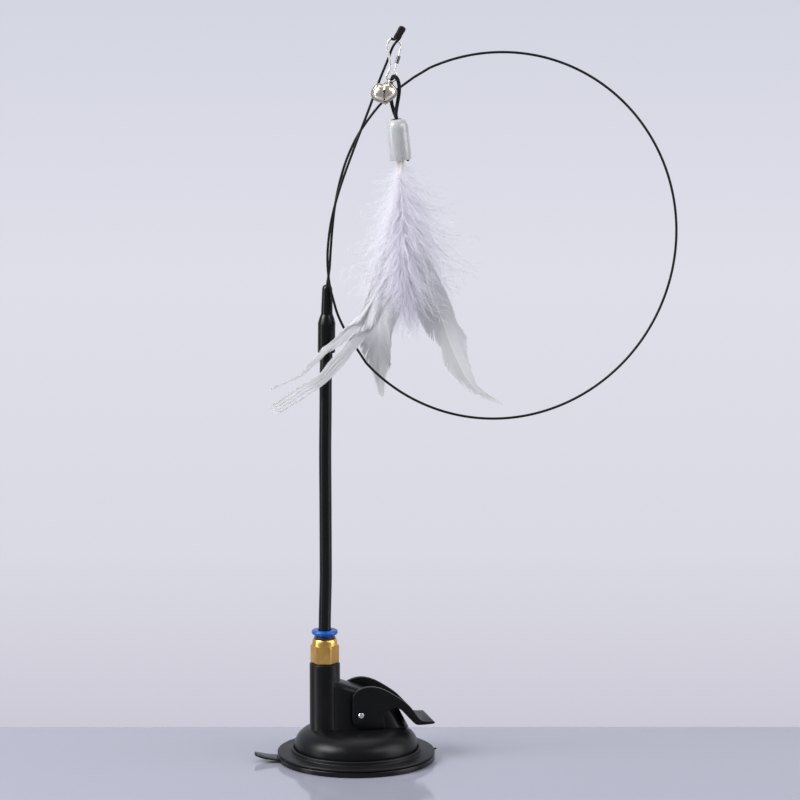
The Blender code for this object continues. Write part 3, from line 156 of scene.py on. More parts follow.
class FeatherSettings(bpy.types.PropertyGroup):
    vane: tint("Vane", "Colour of the long feathers", (0.86, 0.86, 0.88))
    down: tint("Down", "Colour of the down", (0.95, 0.94, 0.98))
    quill: tint("Quill", "Colour of the bare quills", (0.84, 0.81, 0.72))
    feather_length: length("Feather length", "Length that the long feathers' shares are taken of", 0.110)
    plume_length: length("Plume length", "Length that the plumes' shares are taken of", 0.080)
    quill_radius: length("Quill radius", "Radius of a quill at the cap", 0.0006)
    seed: bpy.props.IntProperty(name="Seed", description="Start of every random draw", default=11)


class StageSettings(bpy.types.PropertyGroup):
    lens: bpy.props.FloatProperty(name="Lens", description="Focal length of the camera", default=190.0,
                                  unit="CAMERA")
    turn: angle("Turn", "How far round the camera stands from the front", 13.3)
    pitch: angle("Pitch", "How far the camera looks down", 9.893)
    distance: length("Distance", "Level distance from the camera to the pads", 2.0)
    height: length("Height", "Height of the camera", 0.52618)
    aside: length("Aside", "How far the camera's line passes right of the pads", 0.0214)
    floor: tint("Floor", "Colour of the pale floor", (0.282, 0.289, 0.350))
    # The backdrop's three colours are painted light, the glow it shows: brightest in the middle, darker low
    # and at the top.
    wall_low: tint("Wall low", "Colour of the backdrop behind the base", (0.60, 0.585, 0.67))
    wall_high: tint("Wall high", "Colour of the backdrop at the top", (0.625, 0.645, 0.740))
    wall_middle: tint("Wall middle", "Colour of the backdrop's brightest part", (0.735, 0.735, 0.815))


SETTINGS = {"teaser_base": BaseSettings, "teaser_fitting": FittingSettings, "teaser_wire": WireSettings,
            "teaser_charms": CharmSettings, "teaser_feathers": FeatherSettings,
            "teaser_stage": StageSettings}


# Node trees


class Socket:
    """An output of a node tree, which sums and products turn into Math nodes."""

    def __init__(self, book, socket):
        self.book = book
        self.socket = socket

    def calc(self, operation, first, second):
        return self.book.add("ShaderNodeMath", {"operation": operation}, {0: first, 1: second})

    def __add__(self, other):
        return self.calc("ADD", self, other)

    def __radd__(self, other):
        return self.calc("ADD", other, self)

    def __sub__(self, other):
        return self.calc("SUBTRACT", self, other)

    def __rsub__(self, other):
        return self.calc("SUBTRACT", other, self)

    def __mul__(self, other):
        return self.calc("MULTIPLY", self, other)

    def __rmul__(self, other):
        return self.calc("MULTIPLY", other, self)


class NodeBook:
    """Adds any node to a tree from its type, its settings and the values or links of its sockets."""

    def __init__(self, tree):
        self.tree = tree

    def add(self, kind, settings=None, inputs=None, output=0):
        node = self.tree.nodes.new(kind)
        for name, value in (settings or {}).items():
            if name == "stops":
                self.set_stops(node.color_ramp, value)
            else:
                setattr(node, name, value)
        for key, value in (inputs or {}).items():
            if isinstance(value, (Socket, list)):
                for source in value if isinstance(value, list) else [value]:
                    self.tree.links.new(source.socket, node.inputs[key])
            elif value is not None:
                node.inputs[key].default_value = value
        return Socket(self, node.outputs[output]) if node.outputs else None

    @staticmethod
    def set_stops(ramp, stops):
        while len(ramp.elements) < len(stops):
            ramp.elements.new(1.0)
        for element, (place, color) in zip(ramp.elements, stops):
            element.position = place
            element.color = (*color, 1.0)

    def coords(self):
        return self.add("ShaderNodeTexCoord", output="Object")

    def stretched(self, vector, scale, turn=(0.0, 0.0, 0.0)):
        return self.add("ShaderNodeMapping", None, {"Vector": vector, "Scale": scale, "Rotation": turn})

    def noise(self, vector, scale, detail=3.0, rough=0.55, turn=(0.0, 0.0, 0.0)):
        """Noise of one scale, or of a scale for each axis once the place is turned."""
        if isinstance(scale, tuple):
            vector, scale = self.stretched(vector, scale, turn), 1.0
        return self.add("ShaderNodeTexNoise", None,
                        {"Vector": vector, "Scale": scale, "Detail": detail, "Roughness": rough})

    def mix(self, share, first, second):
        return self.add("ShaderNodeMix", {"data_type": "RGBA"},
                        {0: share, 6: self.color(first), 7: self.color(second)}, output=2)

    def bump(self, height, depth, strength, over=None):
        return self.add("ShaderNodeBump", None,
                        {"Height": height, "Distance": depth, "Strength": strength, "Normal": over})

    def cover(self, shader, share, over):
        """Lays another shader over the material's own, by a share."""
        both = self.add("ShaderNodeMixShader", None, {0: share, 1: Socket(self, shader.outputs[0]), 2: over})
        self.tree.links.new(both.socket, self.tree.nodes["Material Output"].inputs["Surface"])

    @staticmethod
    def color(value):
        return value if isinstance(value, Socket) else (*value, 1.0)


def shade(color, factor):
    """A colour made lighter or darker."""
    return tuple(min(channel * factor, 1.0) for channel in color)


def finish(name, **sockets):
    """A new material with its Principled shader's fixed sockets set, its node book and the shader."""
    made = bpy.data.materials.new(name)
    made.use_nodes = True
    shader = made.node_tree.nodes["Principled BSDF"]
    for key, value in sockets.items():
        shader.inputs[key.replace("_", " ")].default_value = value
    return made, NodeBook(made.node_tree), shader


def feed(book, shader, **links):
    for key, value in links.items():
        book.tree.links.new(value.socket, shader.inputs[key.replace("_", " ")])


def moulded_plastic(name, color):
    """Satin moulding: fine spark texture, shallow rubs, and a slow drift in colour and gloss."""
    made, book, shader = finish(name, Specular_IOR_Level=0.20)
    place = book.coords()
    spark = book.noise(place, 2600.0, 2.0)
    drift = book.noise(place, 70.0)
    rubs = book.noise(book.stretched(place, (1.0, 1.0, 0.35)), 420.0, 4.0, 0.7)
    feed(book, shader, Base_Color=book.mix(drift, shade(color, 0.8), shade(color, 1.35)),
         Roughness=0.27 + drift * 0.12 + rubs * 0.07,
         Normal=book.bump(spark, 0.00003, 0.35, book.bump(rubs, 0.00004, 0.12)))
    return made


def patterned(name, color, tones, grain, rough, relief, cloud=None, **sockets):
    """A finish with a fine grain that embosses it, and with a cloud that its colour drifts with.

    tones are the colour's factors at the two ends of the cloud, or of the grain where there is no cloud.
    rough is the least roughness, then what the grain adds, then what the cloud adds. relief is the bump's
    depth and strength.
    """
    made, book, shader = finish(name, **sockets)
    place = book.coords()
    patterns = [book.noise(place, **pattern) for pattern in (grain, cloud) if pattern]
    roughness = rough[0]
    for pattern, share in zip(patterns, rough[1:]):
        roughness = roughness + pattern * share
    feed(book, shader, Base_Color=book.mix(patterns[-1], *(shade(color, tone) for tone in tones)),
         Roughness=roughness, Normal=book.bump(patterns[0], *relief))
    return made


def soft_rubber(name, color, low, spread):
    """Matte to glossy rubber with dust in its pores."""
    return patterned(name, color, (0.85, 1.5), {"scale": 1900.0}, (low, 0.04, spread), (0.00002, 0.2),
                     {"scale": 110.0, "detail": 4.0, "rough": 0.65}, Specular_IOR_Level=0.26)


def turned_brass(color):
    """Brass drawn along its flats, with warm, uneven tarnish."""
    return patterned("turned_brass", color, (1.15, 0.72), {"scale": (4200.0, 4200.0, 70.0), "detail": 2.0},
                     (0.20, 0.10, 0.14), (0.00004, 0.35), {"scale": 260.0, "detail": 4.0, "rough": 0.6},
                     Metallic=1.0)


def glossy_plastic(name, color):
    """Smooth moulding under a thin clear skin."""
    return patterned(name, color, (0.88, 1.15), {"scale": 320.0, "detail": 2.0}, (0.26, 0.12),
                     (0.00003, 0.15), Specular_IOR_Level=0.4, Coat_Weight=0.10, Coat_Roughness=0.12)


def extruded_plastic(name, color, low):
    """Tube or coating with faint draw lines along its length."""
    return patterned(name, color, (0.8, 1.4), {"scale": (2400.0, 2400.0, 22.0), "detail": 2.0},
                     (low, 0.05, 0.06), (0.00003, 0.16), {"scale": 90.0}, Specular_IOR_Level=0.26)


def bright_metal(name, color, low, spread):
    """Drawn or plated metal with hairline scratches and soft clouding."""
    return patterned(name, color, (1.06, 0.84), {"scale": (900.0, 5200.0, 1400.0), "turn": (0.3, 0.7, 0.2)},
                     (low, 0.05, spread), (0.000006, 0.08), {"scale": 330.0}, Metallic=1.0)


def braided_cord(color):
    """Fuzzy black yarn, with fibres along each strand."""
    return patterned("braided_cord", color, (0.6, 2.2), {"scale": (3200.0, 3200.0, 900.0)}, (0.58, 0.2),
                     (0.00006, 0.5), Specular_IOR_Level=0.25, Sheen_Weight=0.08, Sheen_Roughness=0.4)


def milky_rubber(color):
    """The cap's translucent rubber: cloudy, with flow marks down its length."""
    return patterned("milky_rubber", color, (0.90, 1.08), {"scale": (900.0, 900.0, 90.0)}, (0.22, 0.14),
                     (0.00003, 0.2), {"scale": 240.0, "detail": 2.0}, IOR=1.41, Transmission_Weight=0.30,
                     Subsurface_Weight=0.30, Subsurface_Scale=0.002, Specular_IOR_Level=0.6,
                     Coat_Weight=0.7, Coat_Roughness=0.16)


def quill_finish(color):
    """Horn with a faint grain along the shaft."""
    return patterned("quill", color, (0.9, 1.08), {"scale": (2200.0, 2200.0, 60.0), "detail": 2.0},
                     (0.32, 0.15), (0.00002, 0.2), Specular_IOR_Level=0.5, Subsurface_Weight=0.2,
                     Subsurface_Scale=0.0006)


def barb_finish(name, color, tone, through):
    """Barbs that let some light through, with shading that drifts from barb to barb."""
    made, book, shader = finish(name, Specular_IOR_Level=0.25, Sheen_Weight=0.3, Sheen_Roughness=0.5)
    drift = book.noise(book.coords(), 120.0)
    streaks = book.noise(book.coords(), 900.0, 2.0)
    pale = book.mix(drift, shade(color, tone), color)
    feed(book, shader, Base_Color=book.mix(streaks, shade(color, tone), pale),
         Roughness=0.62 + drift * 0.2)
    book.cover(shader, through, book.add("ShaderNodeBsdfTranslucent", None, {"Color": (*color, 1.0)}))
    return made


# Mesh helpers


def link(obj):
    bpy.context.scene.collection.objects.link(obj)
    return obj


def solid_mesh(name, bm, recalc=True):
    if recalc:
        bmesh.ops.remove_doubles(bm, verts=bm.verts, dist=MERGE)
        bmesh.ops.recalc_face_normals(bm, faces=bm.faces)
    mesh = bpy.data.meshes.new(name)
    bm.to_mesh(mesh)
    bm.free()
    return mesh


def soften(mesh, limit=SMOOTH_ANGLE):
    mesh.shade_smooth()
    mesh.set_sharp_from_angle(angle=limit)
    return mesh


def plain_mesh(obj, name):
    """The mesh that an object's modifiers make, with the object itself taken away."""
    graph = bpy.context.evaluated_depsgraph_get()
    mesh = bpy.data.meshes.new_from_object(obj.evaluated_get(graph), depsgraph=graph)
    mesh.name = name
    bpy.data.objects.remove(obj)
    return mesh


def add_piece(name, mesh, material, body, slot, *nodes):
    """Puts a finished mesh in the scene, on its body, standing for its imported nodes."""
    mesh.materials.clear()
    mesh.materials.append(material)
    piece = link(bpy.data.objects.new(name, mesh))
    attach(piece, body)
    if nodes:
        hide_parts(*nodes)
    return piece


def show(node, mesh, material):
    """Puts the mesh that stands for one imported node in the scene, in that node's place."""
    return add_piece(node + "_shown", mesh, material, BODY_OF[node], SLOT_OF[node], node)


def merged_copy(node):
    """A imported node's mesh with its loose triangles joined, and flat regions made one face again."""
    bm = bmesh.new()
    bm.from_mesh(frame["nodes"][node].data)
    bmesh.ops.remove_doubles(bm, verts=bm.verts, dist=MERGE)
    bmesh.ops.dissolve_limit(bm, angle_limit=FLAT_ANGLE, verts=bm.verts, edges=bm.edges)
    return solid_mesh(node, bm, recalc=False)


def refined_piece(node, material, edge=0.0, steps=3, limit=SMOOTH_ANGLE):
    """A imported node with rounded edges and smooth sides."""
    mesh = merged_copy(node)
    if edge > 0:
        rounded = link(bpy.data.objects.new(node + "_rounding", mesh))
        bevel = rounded.modifiers.new("edges", "BEVEL")
        bevel.width = edge
        bevel.segments = steps
        bevel.limit_method = "ANGLE"
        bevel.angle_limit = limit
        bevel.use_clamp_overlap = True
        mesh = plain_mesh(rounded, node)
    return show(node, soften(mesh, limit), material)


def spun(name, outline, sides, centre=(0.0, 0.0)):
    """A (radius, height) outline turned about an upright axis; it closes by itself or on the axis."""
    bm = bmesh.new()
    rows = []
    for i in range(sides):
        turn = math.tau * i / sides
        rows.append([bm.verts.new((centre[0] + radius * math.cos(turn), centre[1] + radius * math.sin(turn),
                                   height)) for radius, height in outline])
    last = len(outline) - 1
    spans = [(k, k + 1) for k in range(last)]
    if outline[0][0] > 0 or outline[last][0] > 0:
        spans.append((last, 0))
    for row, following in zip(rows, rows[1:] + rows[:1]):
        for k, j in spans:
            bm.faces.new((row[k], row[j], following[j], following[k]))
    return solid_mesh(name, bm)


def arc(centre, radii, start, end, steps):
    """Points on an elliptical arc from one angle to another, in degrees."""
    angles = [math.radians(start + (end - start) * i / steps) for i in range(steps + 1)]
    return [(centre[0] + radii[0] * math.cos(a), centre[1] + radii[1] * math.sin(a)) for a in angles]


def rounding(across, height, radius, start, end, steps):
    """A round corner of an outline, from one angle to another, in degrees."""
    return arc((across, height), (radius, radius), start, end, steps)


def squarish(value, power):
    """A sine or cosine pulled towards its ends, which turns a circle into a rounded box."""
    return math.copysign(abs(value) ** power, value)


def eased(t):
    """A share from 0 to 1 with a soft start and end."""
    return t * t * (3 - 2 * t)


def smooth_route(points, steps):
    """A smooth curve through points, as vectors."""
    known = [Vector(point) for point in points]
    padded = [2 * known[0] - known[1], *known, 2 * known[-1] - known[-2]]
    found = []
    for before, start, end, after in zip(padded, padded[1:], padded[2:], padded[3:]):
        for i in range(steps):
            t = i / steps
            found.append(0.5 * (2 * start + (end - before) * t
                                + (2 * before - 5 * start + 4 * end - after) * t ** 2
                                + (3 * start - before - 3 * end + after) * t ** 3))
    found.append(known[-1])
    return found


def evened(path, spacing):
    """A path read off again at an even spacing."""
    lengths = [0.0]
    for start, end in zip(path, path[1:]):
        lengths.append(lengths[-1] + (end - start).length)
    count = max(2, round(lengths[-1] / spacing))
    even = []
    span = 0
    for i in range(count + 1):
        wanted = lengths[-1] * i / count
        while span < len(path) - 2 and lengths[span + 1] < wanted:
            span += 1
        share = (wanted - lengths[span]) / (lengths[span + 1] - lengths[span])
        even.append(path[span].lerp(path[span + 1], min(share, 1.0)))
    return even


def turning_frames(path, loop=False):
    """A direction and two square sides at each point of a path, carried along without twist."""
    frames = []
    side = None
    last = len(path) - 1
    for i, point in enumerate(path):
        after = path[(i + 1) % len(path)] if loop else path[min(i + 1, last)]
        before = path[i - 1] if loop else path[max(i - 1, 0)]
        along = (after - before).normalized()
        if side is None:
            side = along.orthogonal().normalized()
        side = (side - along * side.dot(along)).normalized()
        frames.append((point, along, side, along.cross(side)))
    return frames


def tube(bm, path, radii, sides, loop=False):
    """A closed tube of changing radius along a path, or round a flat loop, added to a bmesh."""
    rings = []
    for (point, along, side, other), radius in zip(turning_frames(path, loop), radii):
        ring = []
        for k in range(sides):
            turn = math.tau * k / sides
            ring.append(bm.verts.new(point + (side * math.cos(turn) + other * math.sin(turn)) * radius))
        rings.append(ring)
    skin(bm, rings, loop)


def tube_mesh(name, path, radii, sides, loop=False):
    """A mesh of one tube, smooth all round."""
    bm = bmesh.new()
    tube(bm, path, radii, sides, loop)
    return soften(solid_mesh(name, bm), ROUND_ANGLE)


def bands(bm, rings):
    """Joins each ring of points to the next."""
    for ring, following in zip(rings, rings[1:]):
        for k in range(len(ring)):
            j = (k + 1) % len(ring)
            bm.faces.new((ring[k], ring[j], following[j], following[k]))


def skin(bm, rings, loop=False):
    """Joins rings of points into one closed surface, with flat ends where it isn't a loop."""
    bands(bm, rings + rings[:1] if loop else rings)
    if not loop:
        bm.faces.new(list(reversed(rings[0])))
        bm.faces.new(rings[-1])


# The pads, the rod's slight bow and the coated wire's route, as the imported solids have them


CLEARANCE = 0.0003
PAD_CENTRE = (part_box("suction_pad")[0].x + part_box("suction_pad")[1].x) / 2
PAD_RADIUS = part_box("suction_pad")[1].x - PAD_CENTRE
GEL_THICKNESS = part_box("suction_pad")[0].z - CLEARANCE
DIMPLE_HEIGHT = 0.0028
DIMPLE_ROOF_RADIUS = 0.0085
DIMPLE_RADIUS = 0.0132
DIMPLE_WALL = 0.0017
DIMPLE_EDGE = DIMPLE_RADIUS + DIMPLE_HEIGHT
PAD_FLANGE = 0.0012
PAD_FLOOR = 0.0049
STEP_RADIUS = 0.0317
STEP_TOP = 0.0061
STEP_WALL = 0.0014
BOSS_RADIUS = 0.0118
BOSS_LIP = 0.0010
FOOT_RADIUS = 0.0092
FOOT_THICKNESS = 0.0016
FOOT_COVER = 0.0020
TAB_HALF_WIDTH = 0.0058
TAB_TIP_HALF_WIDTH = 0.0042
TAB_LENGTH = 0.01143
TAB_OVERLAP = 0.00287
TAB_THICKNESS = 0.0012
TAB_BEAD_SHARE = 0.45
TAB_LIFT = 0.0009
TAB_CURL = 0.0024
TAB_TURN = math.radians(174)
NUB_TURN = math.radians(-7)


def lifted(inner, outer, low, high):
    """A smooth slope from a flat ring in to a lifted middle, as (radius, height) points to the axis."""
    steps = 10
    rises = [0.5 - 0.5 * math.cos(math.pi * i / steps) for i in range(steps + 1)]
    slope = [(outer + (inner - outer) * i / steps, low + (high - low) * rise) for i, rise in enumerate(rises)]
    return slope + [(0.0, high)]


def crown(base, roof):
    """The face over the dimple, from the flat ring in to the axis."""
    return lifted(DIMPLE_ROOF_RADIUS + DIMPLE_WALL, DIMPLE_EDGE, base, roof)


ROD_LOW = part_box("rod")[0].z
ROD_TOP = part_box("rod")[1].z
ROD_RADIUS = 0.0030
ROD_BORE_RADIUS = 0.00195
ROD_BOW = 0.0017
BOOT_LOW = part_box("rod_boot")[0].z
BOOT_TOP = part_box("rod_boot")[1].z
BOOT_RADIUS = 0.0042
BOOT_NECK_RADIUS = 0.0029
BOOT_TIP_RADIUS = 0.00245
BOOT_SHOULDER = 0.0034
BOOT_EDGE = 0.0008
WIRE_RADIUS = 0.0006
WIRE_LOW = ROD_TOP - 0.0030
RING_RADIUS = 0.08641
STRAND_STEP = 0.0020
SLEEVE_LENGTH = 0.0063
SLEEVE_TURN = math.radians(28)
SLEEVE_LEAN = math.radians(24)
EYE_RADIUS = 0.0008
STUB_LENGTH = 0.0016


def bow_at(height):
    """How far the rod's centre line lies sideways of its straight axis at a height."""
    bow_shares = [(0.0, 0.0), (0.08, 0.02), (0.24, 0.36), (0.40, 0.34), (0.54, 0.29),
                  (0.72, 0.47), (0.87, 0.80), (1.0, 1.0), (1.3, 1.5)]
    along = min(max((height - ROD_LOW) / (BOOT_TOP - ROD_LOW), 0.0), bow_shares[-1][0])
    for (start, low), (end, high) in zip(bow_shares, bow_shares[1:]):
        if along <= end:
            t = (along - start) / (end - start)
            return ROD_BOW * (low + (high - low) * eased(t))
    return ROD_BOW


def bowed(mesh):
    """Bends a spun mesh to the rod's bow, which lies in the wire's plane."""
    for vertex in mesh.vertices:
        vertex.co += ACROSS * bow_at(vertex.co.z)
    return mesh


def wire_place(u_share, depth_share, z_share):
    """A point of the wire, in shares of the ring's radius from the boot's tip."""
    return spot(bow_at(BOOT_TOP) + u_share * RING_RADIUS, -depth_share * STRAND_STEP,
                BOOT_TOP + z_share * RING_RADIUS)


def ring_points():
    """The big ring, a little out of round, from the top left round by the right to the lower left."""
    centre_share = (0.9417, 0.2705)
    out_of_round_share = 0.0205
    out_of_round_turn = math.radians(35.6)
    depth_shares = (0.1, 1.3)
    start = math.radians(112)
    end = math.radians(-136)
    steps = 240
    points = []
    for i in range(steps + 1):
        t = i / steps
        turn = start + (end - start) * t
        reach = 1 - out_of_round_share * math.cos(2 * turn + out_of_round_turn)
        depth = depth_shares[0] + (depth_shares[1] - depth_shares[0]) * eased(min(t * 2, 1.0))
        points.append(wire_place(centre_share[0] + reach * math.cos(turn), depth,
                                 centre_share[1] + reach * math.sin(turn)))
    return points


def sleeve_frame():
    """The sleeve's lower end, its direction, and the direction across its two strands."""
    sleeve_shares = (0.3834, 4.45, 1.3680)
    along = spot(math.sin(SLEEVE_TURN) * math.cos(SLEEVE_LEAN), -math.sin(SLEEVE_LEAN),
                 math.cos(SLEEVE_TURN) * math.cos(SLEEVE_LEAN))
    across = spot(math.cos(SLEEVE_TURN), 0.0, -math.sin(SLEEVE_TURN))
    return wire_place(*sleeve_shares), along, across


def wire_route():
    """The whole wire: out of the boot, up to the ring, once round, up again and back in the sleeve."""
    rising_shares = [(0.004, 0.0, 0.028), (0.0133, 0.0, 0.0937), (0.0191, 0.0, 0.1828),
                     (0.0295, 0.0, 0.3159), (0.0457, 0.0, 0.449), (0.0735, 0.0, 0.5821),
                     (0.1163, 0.0, 0.7152), (0.1811, 0.0, 0.8471), (0.2772, 0.0, 0.9802),
                     (0.3547, 0.0, 1.0567), (0.4045, 0.0, 1.0949), (0.4809, 0.05, 1.1504)]
    returning_shares = [(0.1600, 1.35, -0.3480), (0.1105, 1.4, -0.2708), (0.0619, 1.5, -0.1701),
                        (0.0341, 1.55, -0.0799), (0.0133, 1.5, 0.0093), (0.0029, 1.2, 0.1204),
                        (0.0064, 1.0, 0.2315), (0.0249, 1.0, 0.3634), (0.0584, 1.0, 0.4965),
                        (0.1024, 1.0, 0.6296), (0.1672, 1.05, 0.8055), (0.2343, 1.3, 0.9825),
                        (0.2911, 1.9, 1.1388), (0.3316, 2.4, 1.2395), (0.3628, 3.0, 1.3210)]
    inside_steps = 4
    inside = [spot(bow_at(z), 0.0, z) for z in
              (WIRE_LOW + (BOOT_TOP - WIRE_LOW) * i / inside_steps for i in range(inside_steps + 1))]
    low, along, across = sleeve_frame()
    top = low + along * (SLEEVE_LENGTH - EYE_RADIUS)
    outer = across * EYE_RADIUS
    turn = [top + outer * math.cos(angle) + along * EYE_RADIUS * math.sin(angle)
            for angle in (math.radians(20 * i) for i in range(10))]
    step = 2.5 * WIRE_RADIUS
    rising = evened(smooth_route(inside + [wire_place(*shares) for shares in rising_shares], 8), step)
    middle = ring_points()
    back = [middle[-1]] + [wire_place(*shares) for shares in returning_shares]
    back.append(low + outer - along * WIRE_RADIUS)
    returning = evened(smooth_route(back, 8), step)
    mouth = low - outer - along * WIRE_RADIUS
    tail = evened(smooth_route([turn[-1], mouth, mouth - along * STUB_LENGTH / 4 - across * STUB_LENGTH / 3,
                                mouth - along * STUB_LENGTH / 3 - across * STUB_LENGTH], 6), WIRE_RADIUS)
    return rising + middle + returning[1:] + turn + tail[1:]


# Clip, bell and cord sizes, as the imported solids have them


CLIP_LENGTH = 0.0200
CLIP_WIDTH = 0.0064
PACKED_CLIP_RADIUS = 0.0004
BELL_WIDTH = 0.0126
BELL_HEIGHT = 0.0108
BELL_DEPTH = 0.0034
BELL_SHEET = 0.0004
BELL_TILT = math.radians(9)
SLIT_WIDTH = 0.0008
LINK_RADIUS = 0.0015
LINK_WIRE = 0.0003


def clip_place(u_share, z_share):
    """A point of the clip, in shares of its width and length from its top."""
    top = Vector(JOINTS["clip_swing"]["pos_m"])
    return top + ACROSS * u_share * CLIP_WIDTH - UP * z_share * CLIP_LENGTH


def clip_route():
    """The clip's closed line: from its top down one side, round its lowest bend and up the other."""
    clip_shares = [(0.0, 0.0), (0.23, 0.02), (0.48, 0.085), (0.58, 0.16), (0.44, 0.38), (0.22, 0.61),
                   (0.18, 0.77), (0.24, 0.88), (0.13, 0.97), (-0.10, 1.0), (-0.35, 0.985),
                   (-0.50, 0.90), (-0.38, 0.80), (-0.20, 0.64), (-0.30, 0.42), (-0.40, 0.21),
                   (-0.38, 0.085), (-0.23, 0.02)]
    count = len(clip_shares)
    steps = 8
    closed = [clip_place(*clip_shares[(i - 1) % count]) for i in range(count + 3)]
    return smooth_route(closed, steps)[steps:steps * (count + 1)]


def bell_centre():
    """The heart's middle, hung on the link ring below the clip's lowest bend."""
    across_share = 0.18
    drop_share = 0.53
    link_drop = LINK_RADIUS - LINK_WIRE - PACKED_CLIP_RADIUS - CLEARANCE * 1.3
    link = Vector(JOINTS["bell_swing"]["pos_m"]) - AWAY * CLEARANCE - UP * link_drop
    return link - ACROSS * across_share * BELL_WIDTH - AWAY * 2 * CLEARANCE - UP * drop_share * BELL_HEIGHT


def heart_outline(scale, steps):
    """A heart in its own plane, point down, scaled about its middle; smaller ones have a deeper dip.

    It is the usual heart curve, 32 units across, whose height and middle change a little with the dip.
    """
    dip = 3.9 - 2.6 * scale
    middle = -0.3 - 0.45 * dip
    height = 23.4 + 1.1 * dip
    width = 32
    points = []
    for i in range(steps):
        turn = math.tau * i / steps
        across = 16 * math.sin(turn) ** 3
        up = 13 * math.cos(turn) - dip * math.cos(2 * turn) - 2 * math.cos(3 * turn) - math.cos(4 * turn)
        points.append((across / width * BELL_WIDTH * scale, (up - middle) / height * BELL_HEIGHT * scale))
    return points


def cord_route():
    """The cord's loop: up from the cap in front of the clip, over its lowest bend and down behind."""
    pair = PACKED_CORD_RADIUS + CLEARANCE / 3
    loop_shares = [(0.00, -1.0, -0.23), (0.00, -1.0, 0.0), (-0.013, -1.05, 0.148), (0.023, 0.25, 0.377),
                   (0.061, 0.80, 0.606), (0.066, 0.60, 0.784), (0.045, -0.45, 0.911),
                   (0.010, -1.50, 0.990), (-0.036, -1.62, 1.030), (-0.072, -0.95, 1.034),
                   (-0.092, 0.0, 1.0), (-0.102, 1.05, 0.970), (-0.118, 1.95, 0.910),
                   (-0.130, 3.2, 0.784), (-0.135, 3.9, 0.606), (-0.115, 2.7, 0.377),
                   (-0.060, 1.4, 0.173), (0.00, 1.0, 0.0), (0.00, 1.0, -0.23)]
    top = cap_top()
    return smooth_route([top + ACROSS * across * CORD_REACH + AWAY * depth * pair + UP * rise * CORD_REACH
                         for across, depth, rise in loop_shares], 10)


# Cord and cap sizes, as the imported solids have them


PACKED_CORD_RADIUS = 0.00095
CORD_REACH = 0.0197
CAP_LENGTH = 0.0194
CAP_TOP_RADIUS = 0.0052
CAP_MOUTH_RADIUS = 0.00545
CAP_DOME = 0.0044
CAP_WALL = 0.0010
CAP_MOUTH_DEPTH = 0.0040
CAP_LEAN = math.radians(5.6)
CAP_LEAN_SHARE = 0.092
QUILL_CIRCLE = 0.00145
QUILL_IN_CAP = 0.0100


# Feathers: a quill's turn in the cap in degrees, then places along its shaft. A place is across, away and
# down from the cap's mouth and then the vane's half width, all as shares of the feather's length. The left
# feather's strands have one start and then part, and their half widths are listed apart.


FEATHER_SHARES = {
    "middle_feather": (126, [(0.0, 0.002, 0.08, 0.002), (-0.010, 0.016, 0.225, 0.030),
                             (-0.036, 0.026, 0.44, 0.074), (-0.072, 0.038, 0.618, 0.098),
                             (-0.086, 0.054, 0.74, 0.094), (-0.085, 0.068, 0.84, 0.084),
                             (-0.082, 0.075, 0.94, 0.064), (-0.077, 0.078, 1.01, 0.030),
                             (-0.074, 0.079, 1.045, 0.004)]),
    "right_feather": (-18, [(0.006, 0.004, 0.07, 0.002), (0.020, 0.008, 0.20, 0.010),
                            (0.054, 0.008, 0.37, 0.034), (0.114, 0.006, 0.575, 0.088),
                            (0.166, 0.004, 0.695, 0.092), (0.203, 0.002, 0.80, 0.080),
                            (0.239, 0.0, 0.885, 0.068), (0.283, 0.0, 0.965, 0.048),
                            (0.343, 0.0, 1.022, 0.024), (0.440, 0.0, 1.075, 0.005)]),
}
LEFT_TURN = 198
LEFT_STRANDS = 4
LEFT_QUILL_STRAND = 2
LEFT_START_SHARES = [(0.0, 0.0, 0.07), (-0.006, -0.004, 0.17), (-0.022, -0.006, 0.30),
                     (-0.060, -0.006, 0.50)]
LEFT_FIRST_SHARES = [(-0.106, -0.012, 0.612), (-0.203, -0.004, 0.730), (-0.284, 0.004, 0.805),
                     (-0.353, 0.008, 0.873), (-0.430, 0.011, 0.945), (-0.545, 0.012, 1.000)]
LEFT_UPPER_SHARES = [(-0.108, -0.004, 0.640), (-0.210, 0.002, 0.791), (-0.277, 0.006, 0.860),
                     (-0.345, 0.010, 0.937), (-0.439, 0.012, 0.994), (-0.541, 0.012, 1.066)]
LEFT_LOWER_SHARES = [(-0.098, 0.004, 0.690), (-0.188, 0.008, 0.829), (-0.245, 0.012, 0.905),
                     (-0.314, 0.015, 0.975), (-0.405, 0.015, 1.045), (-0.503, 0.012, 1.105)]
FIRST_HALF_SHARES = [0.002, 0.012, 0.028, 0.038, 0.042, 0.038, 0.030, 0.019, 0.010, 0.002]
STRAND_HALF_SHARES = [0.002, 0.012, 0.026, 0.034, 0.022, 0.014, 0.010, 0.009, 0.006, 0.002]

PLUME_SHARES = {
    "front_plume": (-90, [(0.0, -0.006, 0.02, 0.085), (0.000, -0.020, 0.12, 0.17),
                          (0.006, -0.032, 0.27, 0.23), (0.010, -0.036, 0.44, 0.26),
                          (0.016, -0.036, 0.60, 0.24), (0.032, -0.032, 0.74, 0.15),
                          (0.050, -0.028, 0.90, 0.085), (0.056, -0.026, 1.00, 0.05)]),
    "back_plume": (54, [(0.0, 0.010, 0.02, 0.085), (0.014, 0.030, 0.12, 0.19), (0.036, 0.040, 0.27, 0.28),
                        (0.046, 0.046, 0.44, 0.31), (0.048, 0.056, 0.60, 0.28),
                        (0.046, 0.066, 0.76, 0.20), (0.044, 0.072, 0.90, 0.10)]),
}

# Down: its slants at the cap and at the plume's end, in degrees, and for each layer its reach as a share
# of the plume's half widths, and inputs of the barb tree

